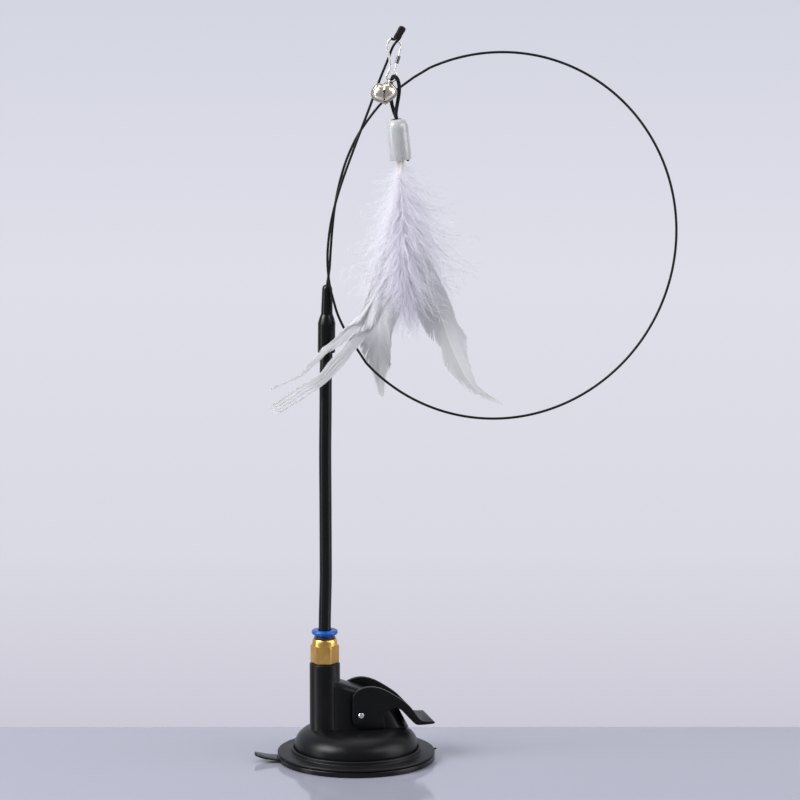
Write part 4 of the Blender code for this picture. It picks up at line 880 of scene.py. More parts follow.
DOWN_SLANTS = (64, 18)
PLUME_LAYERS = {"down": (0.84, {"Count": 1000, "Stray": 0.60, "Shortest": 0.34, "Spin": 1.7}),
                "wisps": (1.30, {"Count": 260, "Stray": 0.30, "Shortest": 0.42, "Spin": 0.70})}


def cap_top():
    hook = Vector(JOINTS["feather_swing"]["pos_m"])
    return hook + ACROSS * CAP_LEAN_SHARE * CORD_REACH - UP * CORD_REACH


def cap_axes():
    """The cap's own direction, from its top to its mouth, and its side in the wire's plane."""
    down = ACROSS * math.sin(CAP_LEAN) - UP * math.cos(CAP_LEAN)
    return down, down.cross(AWAY)


def quill_place(turn_degrees, depth):
    down, side = cap_axes()
    turn = math.radians(turn_degrees)
    out = side * math.cos(turn) + AWAY * math.sin(turn)
    return cap_top() + down * depth + out * QUILL_CIRCLE


def feather_route(turn_degrees, size, shares, steps):
    """The smooth line of a shaft, from inside the cap, and the half widths along it."""
    mouth = quill_place(turn_degrees, CAP_LENGTH)
    inside = quill_place(turn_degrees, CAP_LENGTH - QUILL_IN_CAP)
    places = [inside, mouth]
    halves = [0.0, 0.0]
    for across, away, down, half in shares:
        places.append(mouth + ACROSS * across * size + AWAY * away * size - UP * down * size)
        halves.append(half * size)
    route = smooth_route(places, steps)
    widths = [max(value.x, 0.0) for value in smooth_route([(half, 0.0, 0.0) for half in halves], steps)]
    return route, widths


# Barbs: one node tree spreads them along a shaft


SHORTEST_BARB = 0.0008
SHORTEST_STRAND_BARB = 0.0032
BARB_KINDS = 8
STRAND_SEED = 20
DOWN_SEED = 40
SEEDS_PER_ROW = 10
SHAFT_VALUES = {"side": "FLOAT_VECTOR", "reach": "FLOAT", "slant": "FLOAT"}


def barb_tree():
    """Spreads barbs along both sides of a line whose points hold side, reach and slant."""
    tree = bpy.data.node_groups.new("barbs_along_shaft", "GeometryNodeTree")
    sockets = [("Barbs", "NodeSocketCollection", None), ("Count", "NodeSocketInt", 120),
               ("Spin", "NodeSocketFloat", 0.0), ("Roll", "NodeSocketFloat", 0.2),
               ("Stray", "NodeSocketFloat", 0.05), ("Shortest", "NodeSocketFloat", 0.9),
               ("Seed", "NodeSocketInt", 0), ("Finish", "NodeSocketMaterial", None)]
    tree.interface.new_socket("Geometry", in_out="INPUT", socket_type="NodeSocketGeometry")
    for name, kind, default in sockets:
        made = tree.interface.new_socket(name, in_out="INPUT", socket_type=kind)
        if default is not None:
            made.default_value = default
    tree.interface.new_socket("Geometry", in_out="OUTPUT", socket_type="NodeSocketGeometry")
    book = NodeBook(tree)
    group = book.add("NodeGroupInput").socket.node
    given = {socket.name: Socket(book, socket) for socket in group.outputs if socket.name}
    line = book.add("GeometryNodeMeshToCurve", None, {0: given["Geometry"]})
    even = book.add("GeometryNodeResampleCurve", None, {"Curve": line, "Count": given["Count"]})
    barbs = book.add("GeometryNodeCollectionInfo", None,
                     {"Collection": given["Barbs"], "Separate Children": True, "Reset Children": True})
    tangent = book.add("GeometryNodeInputTangent")
    side, reach, slant = [book.add("GeometryNodeInputNamedAttribute", {"data_type": kind}, {"Name": name})
                          for name, kind in SHAFT_VALUES.items()]

    def rotated(rotation, turns):
        euler = book.add("FunctionNodeEulerToRotation", None,
                         {0: book.add("ShaderNodeCombineXYZ", None, turns)})
        return book.add("FunctionNodeRotateRotation", {"rotation_space": "LOCAL"}, {0: rotation, 1: euler})

    rows = []
    for number, sign in enumerate((1.0, -1.0)):
        def draw(low, high, offset):
            return book.add("FunctionNodeRandomValue", {"data_type": "FLOAT"},
                            {2: low, 3: high, "Seed": given["Seed"] + (number * SEEDS_PER_ROW + offset)},
                            output=1)

        out = book.add("ShaderNodeVectorMath", {"operation": "SCALE"}, {0: side, "Scale": sign})
        facing = book.add("FunctionNodeAxesToRotation", {"primary_axis": "Z", "secondary_axis": "X"},
                          {0: tangent, 1: out})
        spun_round = rotated(facing, {2: given["Spin"] * draw(-1.0, 1.0, 1)})
        tilt = slant + given["Stray"] * draw(-1.0, 1.0, 2) - math.pi / 2
        turned = rotated(spun_round, {0: given["Roll"], 1: tilt})
        size = reach * draw(given["Shortest"], 1.0, 3)
        pick = book.add("FunctionNodeRandomValue", {"data_type": "INT"},
                        {4: 0, 5: BARB_KINDS - 1, "Seed": given["Seed"] + (number * SEEDS_PER_ROW + 4)},
                        output=2)
        rows.append(book.add("GeometryNodeInstanceOnPoints", None,
                             {"Points": even, "Instance": barbs, "Pick Instance": True,
                              "Instance Index": pick, "Rotation": turned, "Scale": size}))
    both = book.add("GeometryNodeJoinGeometry", None, {0: rows})
    real = book.add("GeometryNodeRealizeInstances", None, {0: both})
    painted = book.add("GeometryNodeSetMaterial", None, {"Geometry": real, "Material": given["Finish"]})
    book.add("NodeGroupOutput", None, {0: painted})
    return tree


def barb_collection(name, make, seed):
    """Several barbs of unit length, kept out of the scene, for the tree to pick from."""
    group = bpy.data.collections.new(name)
    draw = random.Random(seed)
    for i in range(BARB_KINDS):
        group.objects.link(bpy.data.objects.new(f"{name}_{i}", make(f"{name}_{i}", draw)))
    return group


def vane_barb(width_share, bend_share):
    """Makes flat barbs with a ridge, one unit long, that curve towards the feather's tip."""
    def make(name, draw):
        steps = 5
        bend = bend_share * draw.uniform(0.8, 1.2)
        bm = bmesh.new()
        rings = []
        for i in range(steps + 1):
            t = i / steps
            half = width_share * (1 - 0.75 * t ** 3) / 2
            centre = Vector((t, 0.0, bend * t * t))
            across = Vector((-2 * bend * t, 0.0, 1.0)).normalized() * half
            rise = Vector((0.0, half * 0.35, 0.0))
            rings.append([bm.verts.new(centre - across), bm.verts.new(centre + across),
                          bm.verts.new(centre + rise)])
        skin(bm, rings)
        return solid_mesh(name, bm)
    return make


def down_barb(name, draw):
    """A limp, wavy barb, one unit long, with fine barbules that stand out both ways."""
    steps = 9
    droop = draw.uniform(-0.26, 0.34)
    wave = draw.uniform(0.03, 0.08)
    sway = draw.uniform(-0.16, 0.16)
    phase = draw.uniform(0.0, math.tau)
    shaft_share = 0.0038

    def place(t):
        return Vector((t * (1 - 0.14 * t * t), sway * t * t + wave * t * math.sin(9 * t + phase),
                       droop * t * t + wave * t * math.cos(10 * t + phase)))

    bm = bmesh.new()
    tube(bm, [place(i / steps) for i in range(steps + 1)],
         [shaft_share * (1 - 0.8 * i / steps) for i in range(steps + 1)], 3)
    barbules = 10
    for i in range(barbules):
        t = 0.08 + 0.90 * i / barbules
        root = place(t)
        along = (place(min(t + 0.05, 1.0)) - root).normalized()
        out = Vector((draw.uniform(-0.6, 0.6), draw.uniform(-1.0, 1.0), draw.choice((-1.0, 1.0))))
        tip = root + (out.normalized() * 0.8 + along).normalized() * draw.uniform(0.06, 0.14)
        side = along.orthogonal().normalized() * shaft_share * 0.6
        other = along.cross(side)
        base = [bm.verts.new(root + side), bm.verts.new(root - side * 0.5 + other),
                bm.verts.new(root - side * 0.5 - other)]
        end = bm.verts.new(tip)
        for k in range(3):
            bm.faces.new((base[k], base[(k + 1) % 3], end))
        bm.faces.new(list(reversed(base)))
    return solid_mesh(name, bm)


def shaft_line(name, route, reaches, slants, facing, shortest):
    """A line along a shaft from where its barbs start, with the side, reach and slant that the tree reads."""
    first = next(i for i, reach in enumerate(reaches) if reach > SHORTEST_BARB)
    mesh = bpy.data.meshes.new(name)
    mesh.from_pydata([tuple(point) for point in route[first:]],
                     [(i, i + 1) for i in range(len(route) - first - 1)], [])
    for key, kind in SHAFT_VALUES.items():
        mesh.attributes.new(key, kind, "POINT")
    for i, (point, along, side, other) in enumerate(turning_frames(route[first:])):
        mesh.attributes["side"].data[i].vector = along.cross(facing).normalized()
        mesh.attributes["reach"].data[i].value = max(reaches[first + i], shortest)
        mesh.attributes["slant"].data[i].value = slants[first + i]
    return mesh


def grown(name, line, **inputs):
    """Runs the barb tree on a line and returns the barbs as one plain mesh."""
    tree = bpy.data.node_groups.get("barbs_along_shaft") or barb_tree()
    holder = link(bpy.data.objects.new(name, line))
    modifier = holder.modifiers.new("barbs", "NODES")
    modifier.node_group = tree
    for item in tree.interface.items_tree:
        if item.in_out == "INPUT" and item.name in inputs:
            modifier[item.identifier] = inputs[item.name]
    return plain_mesh(holder, name)


def quill(node, route, sizes):
    """The round, tapering shaft of a feather or plume."""
    horn = bpy.data.materials.get("quill") or quill_finish(sizes.quill)
    last = len(route) - 1
    taper = 0.90
    radii = [sizes.quill_radius * (1 - taper * (i / last) ** 0.45) for i in range(last + 1)]
    mesh = tube_mesh(node + "_quill", route, radii, 8)
    add_piece(node + "_quill", mesh, horn, "feathers", SLOT_OF[node])


def barb_reaches(route, widths, slants):
    """How long each barb is for its tip to lie on the outline, which lies further down the shaft."""
    spacing = (route[-1] - route[0]).length / len(route)
    last = len(widths) - 1
    reaches = []
    for i, (width, slant) in enumerate(zip(widths, slants)):
        ahead = i + round(width / math.tan(slant) / spacing)
        reaches.append(widths[ahead] / math.sin(slant) if ahead < last else (last - i) * spacing)
    return reaches


# Operators, one for each piece or group of like pieces


class Step(bpy.types.Operator):
    """Base of the steps: runs make, and lets its errors through"""
    bl_idname = "teaser.step"
    bl_label = "Step"
    bl_options = {"REGISTER", "UNDO"}

    def execute(self, context):
        self.make(context.scene)
        return {"FINISHED"}

    def make(self, scene):
        raise NotImplementedError("a step makes its own pieces")


class TEASER_OT_pads(Step):
    """Moulds the sticky lower pad with its pull tab and the upper rubber pad"""
    bl_idname = "teaser.pads"
    bl_label = "Pads"

    def make(self, scene):
        sizes = scene.teaser_base
        gel = soft_rubber("sticky_gel", sizes.gel, 0.16, 0.14)
        rubber = soft_rubber("pad_rubber", sizes.rubber, 0.34, 0.14)
        self.gel_pad(sizes.edge, gel)
        self.suction_pad(sizes.edge, rubber)
        self.tab(gel)
        self.rim_nub(sizes.nub, rubber)

    def turned(self, name, outline, material, node, *replaced, body="base"):
        mesh = spun(name, outline, 160, (PAD_CENTRE, 0.0))
        return add_piece(name, soften(mesh), material, body, SLOT_OF[node], *replaced)

    def flattens(self, piece):
        """Gives a piece of the pads' lifted middle a mesh of its own; that middle sinks flat as the lever
        lets the plunger down.
        """
        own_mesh(piece)

    def gel_pad(self, edge, gel):
        """A flat ring round a lifted middle, which is a piece of its own because it flattens."""
        rim = PAD_RADIUS - edge
        ring = [(DIMPLE_EDGE, 0.0), *rounding(rim, edge, edge, -90, 0, 6),
                *rounding(rim, GEL_THICKNESS - edge, edge, 0, 90, 6), (DIMPLE_EDGE, GEL_THICKNESS)]
        self.turned("gel_pad_shown", ring, gel, "gel_pad", "gel_pad")
        middle = list(reversed(lifted(DIMPLE_ROOF_RADIUS, DIMPLE_RADIUS, 0.0, DIMPLE_HEIGHT)))
        middle += [(DIMPLE_EDGE, 0.0), *crown(GEL_THICKNESS, DIMPLE_HEIGHT + DIMPLE_WALL)]
        self.flattens(self.turned("gel_pad_middle", middle, gel, "gel_pad"))

    def suction_pad(self, edge, rubber):
        """A flange with a step round the dome's foot, a slope that flattens and a boss on the plunger."""
        under = GEL_THICKNESS + CLEARANCE
        roof = DIMPLE_HEIGHT + DIMPLE_WALL + CLEARANCE
        floor = roof + DIMPLE_WALL
        top = under + PAD_FLANGE
        inner = STEP_RADIUS - STEP_WALL
        ring = [(DIMPLE_EDGE, under)]
        ring += rounding(PAD_RADIUS - edge, under + edge, edge, -90, 0, 5)
        ring += rounding(PAD_RADIUS - edge, top - edge, edge, 0, 90, 5)
        ring += rounding(STEP_RADIUS + edge, top + edge, edge, 270, 180, 5)
        ring += rounding(STEP_RADIUS - edge, STEP_TOP - edge, edge, 0, 90, 5)
        ring += rounding(inner + edge, STEP_TOP - edge, edge, 90, 180, 4)
        ring += [(inner, PAD_FLOOR), (DIMPLE_EDGE, PAD_FLOOR)]
        self.turned("suction_pad_shown", ring, rubber, "suction_pad", "suction_pad")
        face = crown(under, roof)
        slope = [point for point in reversed(face) if point[0] > BOSS_RADIUS]
        shoulder = floor + edge
        slope += [(DIMPLE_EDGE, PAD_FLOOR), (DIMPLE_RADIUS + FOOT_COVER, PAD_FLOOR), (slope[0][0], shoulder)]
        self.flattens(self.turned("suction_pad_slope", slope, rubber, "suction_pad"))
        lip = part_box("plunger")[0].z + FOOT_THICKNESS + CLEARANCE
        pocket = FOOT_RADIUS + CLEARANCE
        cover = pocket - FOOT_COVER
        boss = [point for point in reversed(face) if point[0] <= BOSS_RADIUS]
        boss += [(BOSS_RADIUS, boss[-1][1])]
        boss += rounding(BOSS_RADIUS - edge, lip + BOSS_LIP - edge, edge, 0, 90, 4)
        boss += [(cover, lip + BOSS_LIP), (cover, lip), (pocket, lip), (pocket, floor), (0.0, floor)]
        self.turned("suction_pad_boss", boss, rubber, "suction_pad", body=BODY_OF["plunger"])

    def tab(self, gel):
        """The pull tongue: a soft slab with a rounded tip that curls up a little."""
        steps = 30
        around = 28
        blunt_share = 0.10
        root = PAD_RADIUS - TAB_OVERLAP
        tip = PAD_RADIUS + TAB_LENGTH
        out = Vector((math.cos(TAB_TURN), math.sin(TAB_TURN), 0.0))
        side = UP.cross(out)
        bm = bmesh.new()
        rings = []
        for i in range(steps + 1):
            along = math.sin(math.pi / 2 * i / steps)
            nose = min((1 - along) * (tip - root) / TAB_TIP_HALF_WIDTH, 1.0)
            swell = max(math.sqrt(1 - (1 - nose) ** 2), blunt_share)
            half = (TAB_HALF_WIDTH + (TAB_TIP_HALF_WIDTH - TAB_HALF_WIDTH) * along) * swell
            thick = TAB_THICKNESS * (1 + TAB_BEAD_SHARE * along ** 3) * min(2.5 * swell, 1.0)
            middle = Vector((PAD_CENTRE, 0.0, TAB_LIFT + TAB_CURL * along ** 2 + TAB_THICKNESS / 2))
            middle += out * (root + (tip - root) * along)
            ring = []
            for k in range(around):
                turn = math.tau * k / around
                x = half * squarish(math.cos(turn), 0.45)
                z = thick / 2 * squarish(math.sin(turn), 0.75)
                ring.append(bm.verts.new(middle + side * x + UP * z))
            rings.append(ring)
        skin(bm, rings)
        add_piece("gel_tab", soften(solid_mesh("gel_tab", bm), SOFT_ANGLE), gel, "base", SLOT_OF["gel_pad"])

    def rim_nub(self, size, rubber):
        """The little moulding nub that stands out of the pads' rim."""
        out = Vector((math.cos(NUB_TURN), math.sin(NUB_TURN), 0.0))
        root = Vector((PAD_CENTRE, 0.0, GEL_THICKNESS + CLEARANCE + PAD_FLANGE / 2)) + out * PAD_RADIUS
        bm = bmesh.new()
        tube(bm, [root - out * size, root, root + out * size * 0.9 + UP * size / 3],
             [size * 0.5, size * 0.48, size * 0.34], 10)
        add_piece("pad_nub", soften(solid_mesh("pad_nub", bm)), rubber, "base", "rubber")


class TEASER_OT_housing(Step):
    """Finishes the moulded housing, the lever, its pin and the plunger"""
    bl_idname = "teaser.housing"
    bl_label = "Housing and lever"

    def make(self, scene):
        sizes = scene.teaser_base
        plastic = moulded_plastic("moulded_plastic", sizes.plastic)
        white = moulded_plastic("white_moulding", WHITE_MOULDING)
        refined_piece("base_housing", plastic, sizes.edge / 2, 2)
        refined_piece("lever", plastic, sizes.edge, 3)
        refined_piece("lever_pin", bright_metal("pin_steel", sizes.pin, 0.18, 0.12))
        refined_piece("plunger", white)


class TEASER_OT_fitting(Step):
    """Finishes the brass push-in fitting with its seal, grip, guide and release collar"""
    bl_idname = "teaser.fitting"
    bl_label = "Fitting"

    def make(self, scene):
        sizes = scene.teaser_fitting
        refined_piece("fitting_body", turned_brass(sizes.brass), sizes.edge, 2, math.radians(22))
        refined_piece("seal_ring", soft_rubber("seal_rubber", SEAL_RUBBER, 0.3, 0.1))
        refined_piece("grip_ring", bright_metal("grip_steel", PLAIN_STEEL, 0.2, 0.1))
        refined_piece("guide_sleeve", glossy_plastic("guide_plastic", sizes.guide))
        refined_piece("release_collar", glossy_plastic("collar_plastic", sizes.collar))


class TEASER_OT_rod_and_wire(Step):
    """Draws the rod, its boot and ferrule, the ring wire and the end sleeve"""
    bl_idname = "teaser.rod_and_wire"
    bl_label = "Rod and wire"

    def make(self, scene):
        sizes = scene.teaser_wire
        self.rod(extruded_plastic("rod_plastic", sizes.tube, 0.20))
        self.boot(soft_rubber("boot_rubber", sizes.boot, 0.20, 0.07))
        refined_piece("wire_ferrule", bright_metal("ferrule_steel", PLAIN_STEEL, 0.2, 0.1))
        self.wire(extruded_plastic("wire_coating", sizes.coating, 0.42))
        self.sleeve(extruded_plastic("sleeve_plastic", sizes.sleeve, 0.34))

    def rod(self, plastic):
        steps = 40
        levels = [ROD_LOW + (ROD_TOP - ROD_LOW) * i / steps for i in range(steps + 1)]
        outline = [(ROD_RADIUS, z) for z in levels] + [(ROD_BORE_RADIUS, z) for z in reversed(levels)]
        show("rod", soften(bowed(spun("rod", outline, 40))), plastic)

    def boot(self, rubber):
        """A sock over the rod's end that narrows at a soft shoulder and ends in a rounded tip."""
        shoulder = ROD_TOP + 2 * CLEARANCE + 2 * BOOT_EDGE
        neck = shoulder + BOOT_SHOULDER
        hole = WIRE_RADIUS + CLEARANCE
        tip_width = BOOT_TIP_RADIUS - hole
        tip_height = 1.6 * tip_width
        cavity = ROD_RADIUS + CLEARANCE
        narrowing = [(BOOT_RADIUS, shoulder - 2 * BOOT_EDGE), (BOOT_RADIUS, shoulder - BOOT_EDGE),
                     ((BOOT_RADIUS + BOOT_NECK_RADIUS) / 2, (shoulder + neck) / 2),
                     (BOOT_NECK_RADIUS, neck), (BOOT_NECK_RADIUS - BOOT_EDGE / 8, neck + BOOT_EDGE)]
        taper = smooth_route([(radius, 0.0, z) for radius, z in narrowing], 6)
        edge = BOOT_EDGE / 2
        outline = [(cavity, BOOT_LOW), *rounding(BOOT_RADIUS - edge, BOOT_LOW + edge, edge, -90, 0, 5)]
        outline += [(point.x, point.z) for point in taper]
        outline += arc((hole, BOOT_TOP - tip_height), (tip_width, tip_height), 0, 90, 12)
        outline += [(hole, ROD_TOP + CLEARANCE), (cavity, ROD_TOP + CLEARANCE)]
        mesh = bowed(spun("rod_boot", outline, 64))
        show("rod_boot", soften(mesh, math.radians(40)), rubber)

    def wire(self, coating):
        route = wire_route()
        show("ring_wire", tube_mesh("ring_wire", route, [WIRE_RADIUS] * len(route), 12), coating)

    def sleeve(self, shrunk):
        """The crimped sleeve: two soft lobes over the doubled wire, pinched and wrinkled, closed on top."""
        low, along, across = sleeve_frame()
        side = along.cross(across)
        half_width = EYE_RADIUS + WIRE_RADIUS + 0.00030
        half_depth = WIRE_RADIUS + 0.00038
        end = SLEEVE_LENGTH + WIRE_RADIUS + 0.0006
        closing_from = 0.86
        mouth_until = 0.08
        steps = 44
        around = 36
        bm = bmesh.new()
        rings = []
        for i in range(steps + 1):
            t = i / steps
            closing = max(t - closing_from, 0.0) / (1 - closing_from)
            close = max(math.sqrt(max(1 - closing ** 2, 0.0)), 0.12)
            close *= 1 - 0.10 * max(mouth_until - t, 0.0) / mouth_until
            wrinkle = 0.05 * math.sin(t * 19) + 0.012 * math.sin(t * 47 + 1.0)
            ring = []
            for k in range(around):
                turn = math.tau * k / around
                waist = 1 - 0.16 * math.sin(turn) ** 2 * (0.5 - 0.5 * math.cos(2 * turn))
                swell = close * (1 + wrinkle * math.cos(turn * 2 + t * 9))
                x = half_width * squarish(math.cos(turn), 0.85) * swell
                y = half_depth * squarish(math.sin(turn), 0.85) * swell * waist
                ring.append(bm.verts.new(low + along * (end * t) + across * x + side * y))
            rings.append(ring)
        skin(bm, rings)
        show("end_sleeve", soften(solid_mesh("end_sleeve", bm), SOFT_ANGLE), shrunk)


class TEASER_OT_clip(Step):
    """Bends the spring clip and finishes its catch"""
    bl_idname = "teaser.clip"
    bl_label = "Clip"

    def make(self, scene):
        sizes = scene.teaser_charms
        route = clip_route()
        show("snap_clip", tube_mesh("snap_clip", route, [sizes.clip_radius] * len(route), 16, loop=True),
             bright_metal("clip_steel", sizes.steel, 0.46, 0.06))
        refined_piece("clip_catch", bright_metal("catch_steel", DARK_STEEL, 0.26, 0.1), limit=SOFT_ANGLE)


class TEASER_OT_bell(Step):
    """Presses the heart bell's halves and finishes its link and its ball"""
    bl_idname = "teaser.bell"
    bl_label = "Heart bell"

    def make(self, scene):
        sizes = scene.teaser_charms
        nickel = bright_metal("nickel_plate", sizes.nickel, 0.20, 0.06)
        steel = bright_metal("link_steel", sizes.steel, 0.12, 0.08)
        self.half("bell_front", nickel, -1)
        self.half("bell_back", nickel, 1)
        refined_piece("bell_link", steel, limit=ROUND_ANGLE)
        refined_piece("bell_clapper", steel, limit=ROUND_ANGLE)

    def half(self, node, nickel, side):
        """A pressed half: rolled flange, groove and dome, one sheet thick; the front one has its slit."""
        profile = [(1.0, 0.10), (1.0, 0.55), (0.985, 0.95), (0.955, 1.0), (0.925, 0.80), (0.905, 0.85),
                   (0.890, 1.15), (0.870, 2.1), (0.840, 3.4), (0.790, 4.7), (0.720, 5.9), (0.630, 6.9),
                   (0.520, 7.7), (0.400, 8.3), (0.270, 8.7), (0.130, 8.9), (0.03, 8.95)]
        top = profile[-1][1]
        dome_start = 6
        flange = CLEARANCE / 2
        rise = BELL_DEPTH - flange
        sheet = BELL_SHEET / BELL_WIDTH * 2
        outer = [(scale, flange + rise * depth / top) for scale, depth in profile]
        inner = [(max(scale - sheet, 0.02), flange + max(rise * depth / top - BELL_SHEET, 0.0))
                 for scale, depth in reversed(profile[dome_start:])]
        bm = bmesh.new()
        middle = bell_centre()
        rings = []
        for scale, depth in outer + inner:
            ring = []
            for across, up in heart_outline(scale, 96):
                turned = (across * math.cos(BELL_TILT) - up * math.sin(BELL_TILT),
                          across * math.sin(BELL_TILT) + up * math.cos(BELL_TILT))
                ring.append(bm.verts.new(middle + ACROSS * turned[0] + UP * turned[1]
                                         + AWAY * side * depth))
            rings.append(ring)
        outer_rings = rings[:len(outer)]
        inner_rings = rings[len(outer):]
        for group in (outer_rings, inner_rings, [inner_rings[-1], outer_rings[0]]):
            bands(bm, group)
        bm.faces.new(outer_rings[-1])
        bm.faces.new(list(reversed(inner_rings[0])))
        mesh = solid_mesh(node, bm)
        if side < 0:
            mesh = self.with_slit(mesh, middle)
        show(node, soften(mesh, math.radians(38)), nickel)

    def with_slit(self, mesh, middle):
        """Cuts the sound slit, with a round hole at each end, through the front half's belly."""
        low, high = -0.30 * BELL_HEIGHT, 0.16 * BELL_HEIGHT
        near, far = 0.45 * BELL_DEPTH, 1.6 * BELL_DEPTH
        hole = SLIT_WIDTH * 0.85
        outline = rounding(0.0, high, hole, -60, 240, 14) + rounding(0.0, low, hole, 120, 420, 14)
        shell = link(bpy.data.objects.new("bell_shell", mesh))
        bm = bmesh.new()
        skin(bm, [[bm.verts.new(middle + ACROSS * x + UP * z - AWAY * depth) for x, z in outline]
                  for depth in (near, far)])
        cutter = link(bpy.data.objects.new("slit", solid_mesh("slit", bm)))
        cut = shell.modifiers.new("slit", "BOOLEAN")
        cut.operation = "DIFFERENCE"
        cut.solver = "EXACT"
        cut.object = cutter
        result = plain_mesh(shell, "bell_front")
        bpy.data.objects.remove(cutter)
        return result


class TEASER_OT_cord_and_cap(Step):
    """Braids the short cord loop and moulds the translucent feather cap"""
    bl_idname = "teaser.cord_and_cap"
    bl_label = "Cord and cap"

    def make(self, scene):
        sizes = scene.teaser_charms
        self.cord(sizes, braided_cord(sizes.cord))
        self.cap(milky_rubber(sizes.cap))

    def cord(self, sizes, yarn):
        """A core and two sets of strands that wind opposite ways, over and under each other."""
        strand = sizes.cord_radius * 0.24
        weave = strand * 0.45
        middle_radius = sizes.cord_radius - strand - weave
        pitch = sizes.cord_radius * 7
        route = evened(cord_route(), sizes.cord_radius * 0.34)
        frames = turning_frames(route)
        spacing = (route[1] - route[0]).length
        bm = bmesh.new()
        tube(bm, route, [middle_radius] * len(route), 10)
        for way in (1, -1):
            for number in range(sizes.strands):
                path = []
                for i, (point, along, side, other) in enumerate(frames):
                    turn = way * math.tau * (i * spacing / pitch + number / sizes.strands)
                    over = math.cos(sizes.strands * math.tau * i * spacing / pitch)
                    radius = middle_radius + weave * over * way
                    path.append(point + (side * math.cos(turn) + other * math.sin(turn)) * radius)
                tube(bm, path, [strand] * len(path), 5)
        down, side = cap_axes()
        stub = [cap_top() + down * depth + side * (CAP_MOUTH_RADIUS - CAP_WALL - sizes.cord_radius)
                for depth in (CAP_LENGTH - CAP_MOUTH_DEPTH, CAP_LENGTH, CAP_LENGTH + sizes.cord_radius)]
        tube(bm, stub, [sizes.cord_radius * share for share in (0.8, 0.8, 0.55)], 12)
        show("cord_loop", soften(solid_mesh("cord_loop", bm, recalc=False), ROUND_ANGLE), yarn)

    def cap(self, rubber):
        """A thin cup, mouth down, with a domed top that has a hole for the cord's two legs."""
        hole = 2 * PACKED_CORD_RADIUS + CLEARANCE * 1.5
        rim = 0.0003
        mouth = CAP_MOUTH_RADIUS - CAP_WALL
        outline = [*arc((hole, -CAP_DOME), (CAP_TOP_RADIUS - hole, CAP_DOME), 90, 0, 14),
                   (CAP_MOUTH_RADIUS, -CAP_LENGTH + rim),
                   *rounding(CAP_MOUTH_RADIUS - rim, -CAP_LENGTH + rim, rim, -30, -90, 3),
                   (mouth, -CAP_LENGTH), (mouth, -CAP_LENGTH + CAP_MOUTH_DEPTH),
                   (hole, -CAP_LENGTH + CAP_MOUTH_DEPTH)]
        mesh = spun("feather_cap", outline, 72)
        down, side = cap_axes()
        top = cap_top()
        for vertex in mesh.vertices:
            x, y, z = vertex.co
            vertex.co = top + side * x + AWAY * y - down * z
        mesh.update()
        show("feather_cap", soften(mesh), rubber)


class TEASER_OT_feathers(Step):
    """Grows the three long feathers: quills, and barbs along them"""
    bl_idname = "teaser.feathers"
    bl_label = "Long feathers"

    def make(self, scene):
        sizes = scene.teaser_feathers
        vane = barb_finish("vane_barbs", sizes.vane, 0.94, 0.28)
        self.whole(sizes, vane)
        self.split(sizes, vane)

    def strand(self, name, sizes, turn, shares, steps, slant, facing, shortest, **inputs):
        """The line of one shaft, and the barbs along both its sides."""
        route, widths = feather_route(turn, sizes.feather_length, shares, steps)
        slants = [slant] * len(route)
        line = shaft_line(name, route, barb_reaches(route, widths, slants), slants, facing, shortest)
        return route, grown(name, line, **inputs)

    def whole(self, sizes, vane):
        """The middle and right feathers: one shaft each, with a vane on both sides."""
        facing = AWAY * 0.97 + ACROSS * 0.2
        barbs = barb_collection("vane_barb", vane_barb(0.040, 0.08), sizes.seed)
        for number, (node, (turn, shares)) in enumerate(FEATHER_SHARES.items()):
            route, mesh = self.strand(node, sizes, turn, shares, 14, math.radians(25), facing, SHORTEST_BARB,
                                      Barbs=barbs, Count=400, Roll=0.28, Stray=0.018, Shortest=0.95,
                                      Seed=sizes.seed + number, Finish=vane)
            add_piece(node + "_vane", soften(mesh), vane, "feathers", "feather", node)
            quill(node, route, sizes)

    def split(self, sizes, vane):
        """The left feather, which has split into strands that part towards its end."""
        barbs = barb_collection("strand_barb", vane_barb(0.046, 0.03), sizes.seed + 1)
        strands = [LEFT_FIRST_SHARES]
        for k in range(LEFT_STRANDS):
            along = (k + 0.5) / LEFT_STRANDS
            strands.append([tuple(Vector(upper).lerp(Vector(lower), along))
                            for upper, lower in zip(LEFT_UPPER_SHARES, LEFT_LOWER_SHARES)])
        bm = bmesh.new()
        for number, strand in enumerate(strands):
            half_shares = STRAND_HALF_SHARES if number else FIRST_HALF_SHARES
            shares = [(*place, half) for place, half in zip(LEFT_START_SHARES + strand, half_shares)]
            route, mesh = self.strand("strand", sizes, LEFT_TURN, shares, 12, math.radians(12), AWAY,
                                      SHORTEST_STRAND_BARB, Barbs=barbs, Count=260, Roll=0.3, Stray=0.02,
                                      Shortest=0.9, Seed=sizes.seed + STRAND_SEED + number, Finish=vane)
            bm.from_mesh(mesh)
            if number == LEFT_QUILL_STRAND:
                quill("left_feather", route, sizes)
        mesh = solid_mesh("left_feather", bm, recalc=False)
        add_piece("left_feather_vane", soften(mesh), vane, "feathers", "feather", "left_feather")


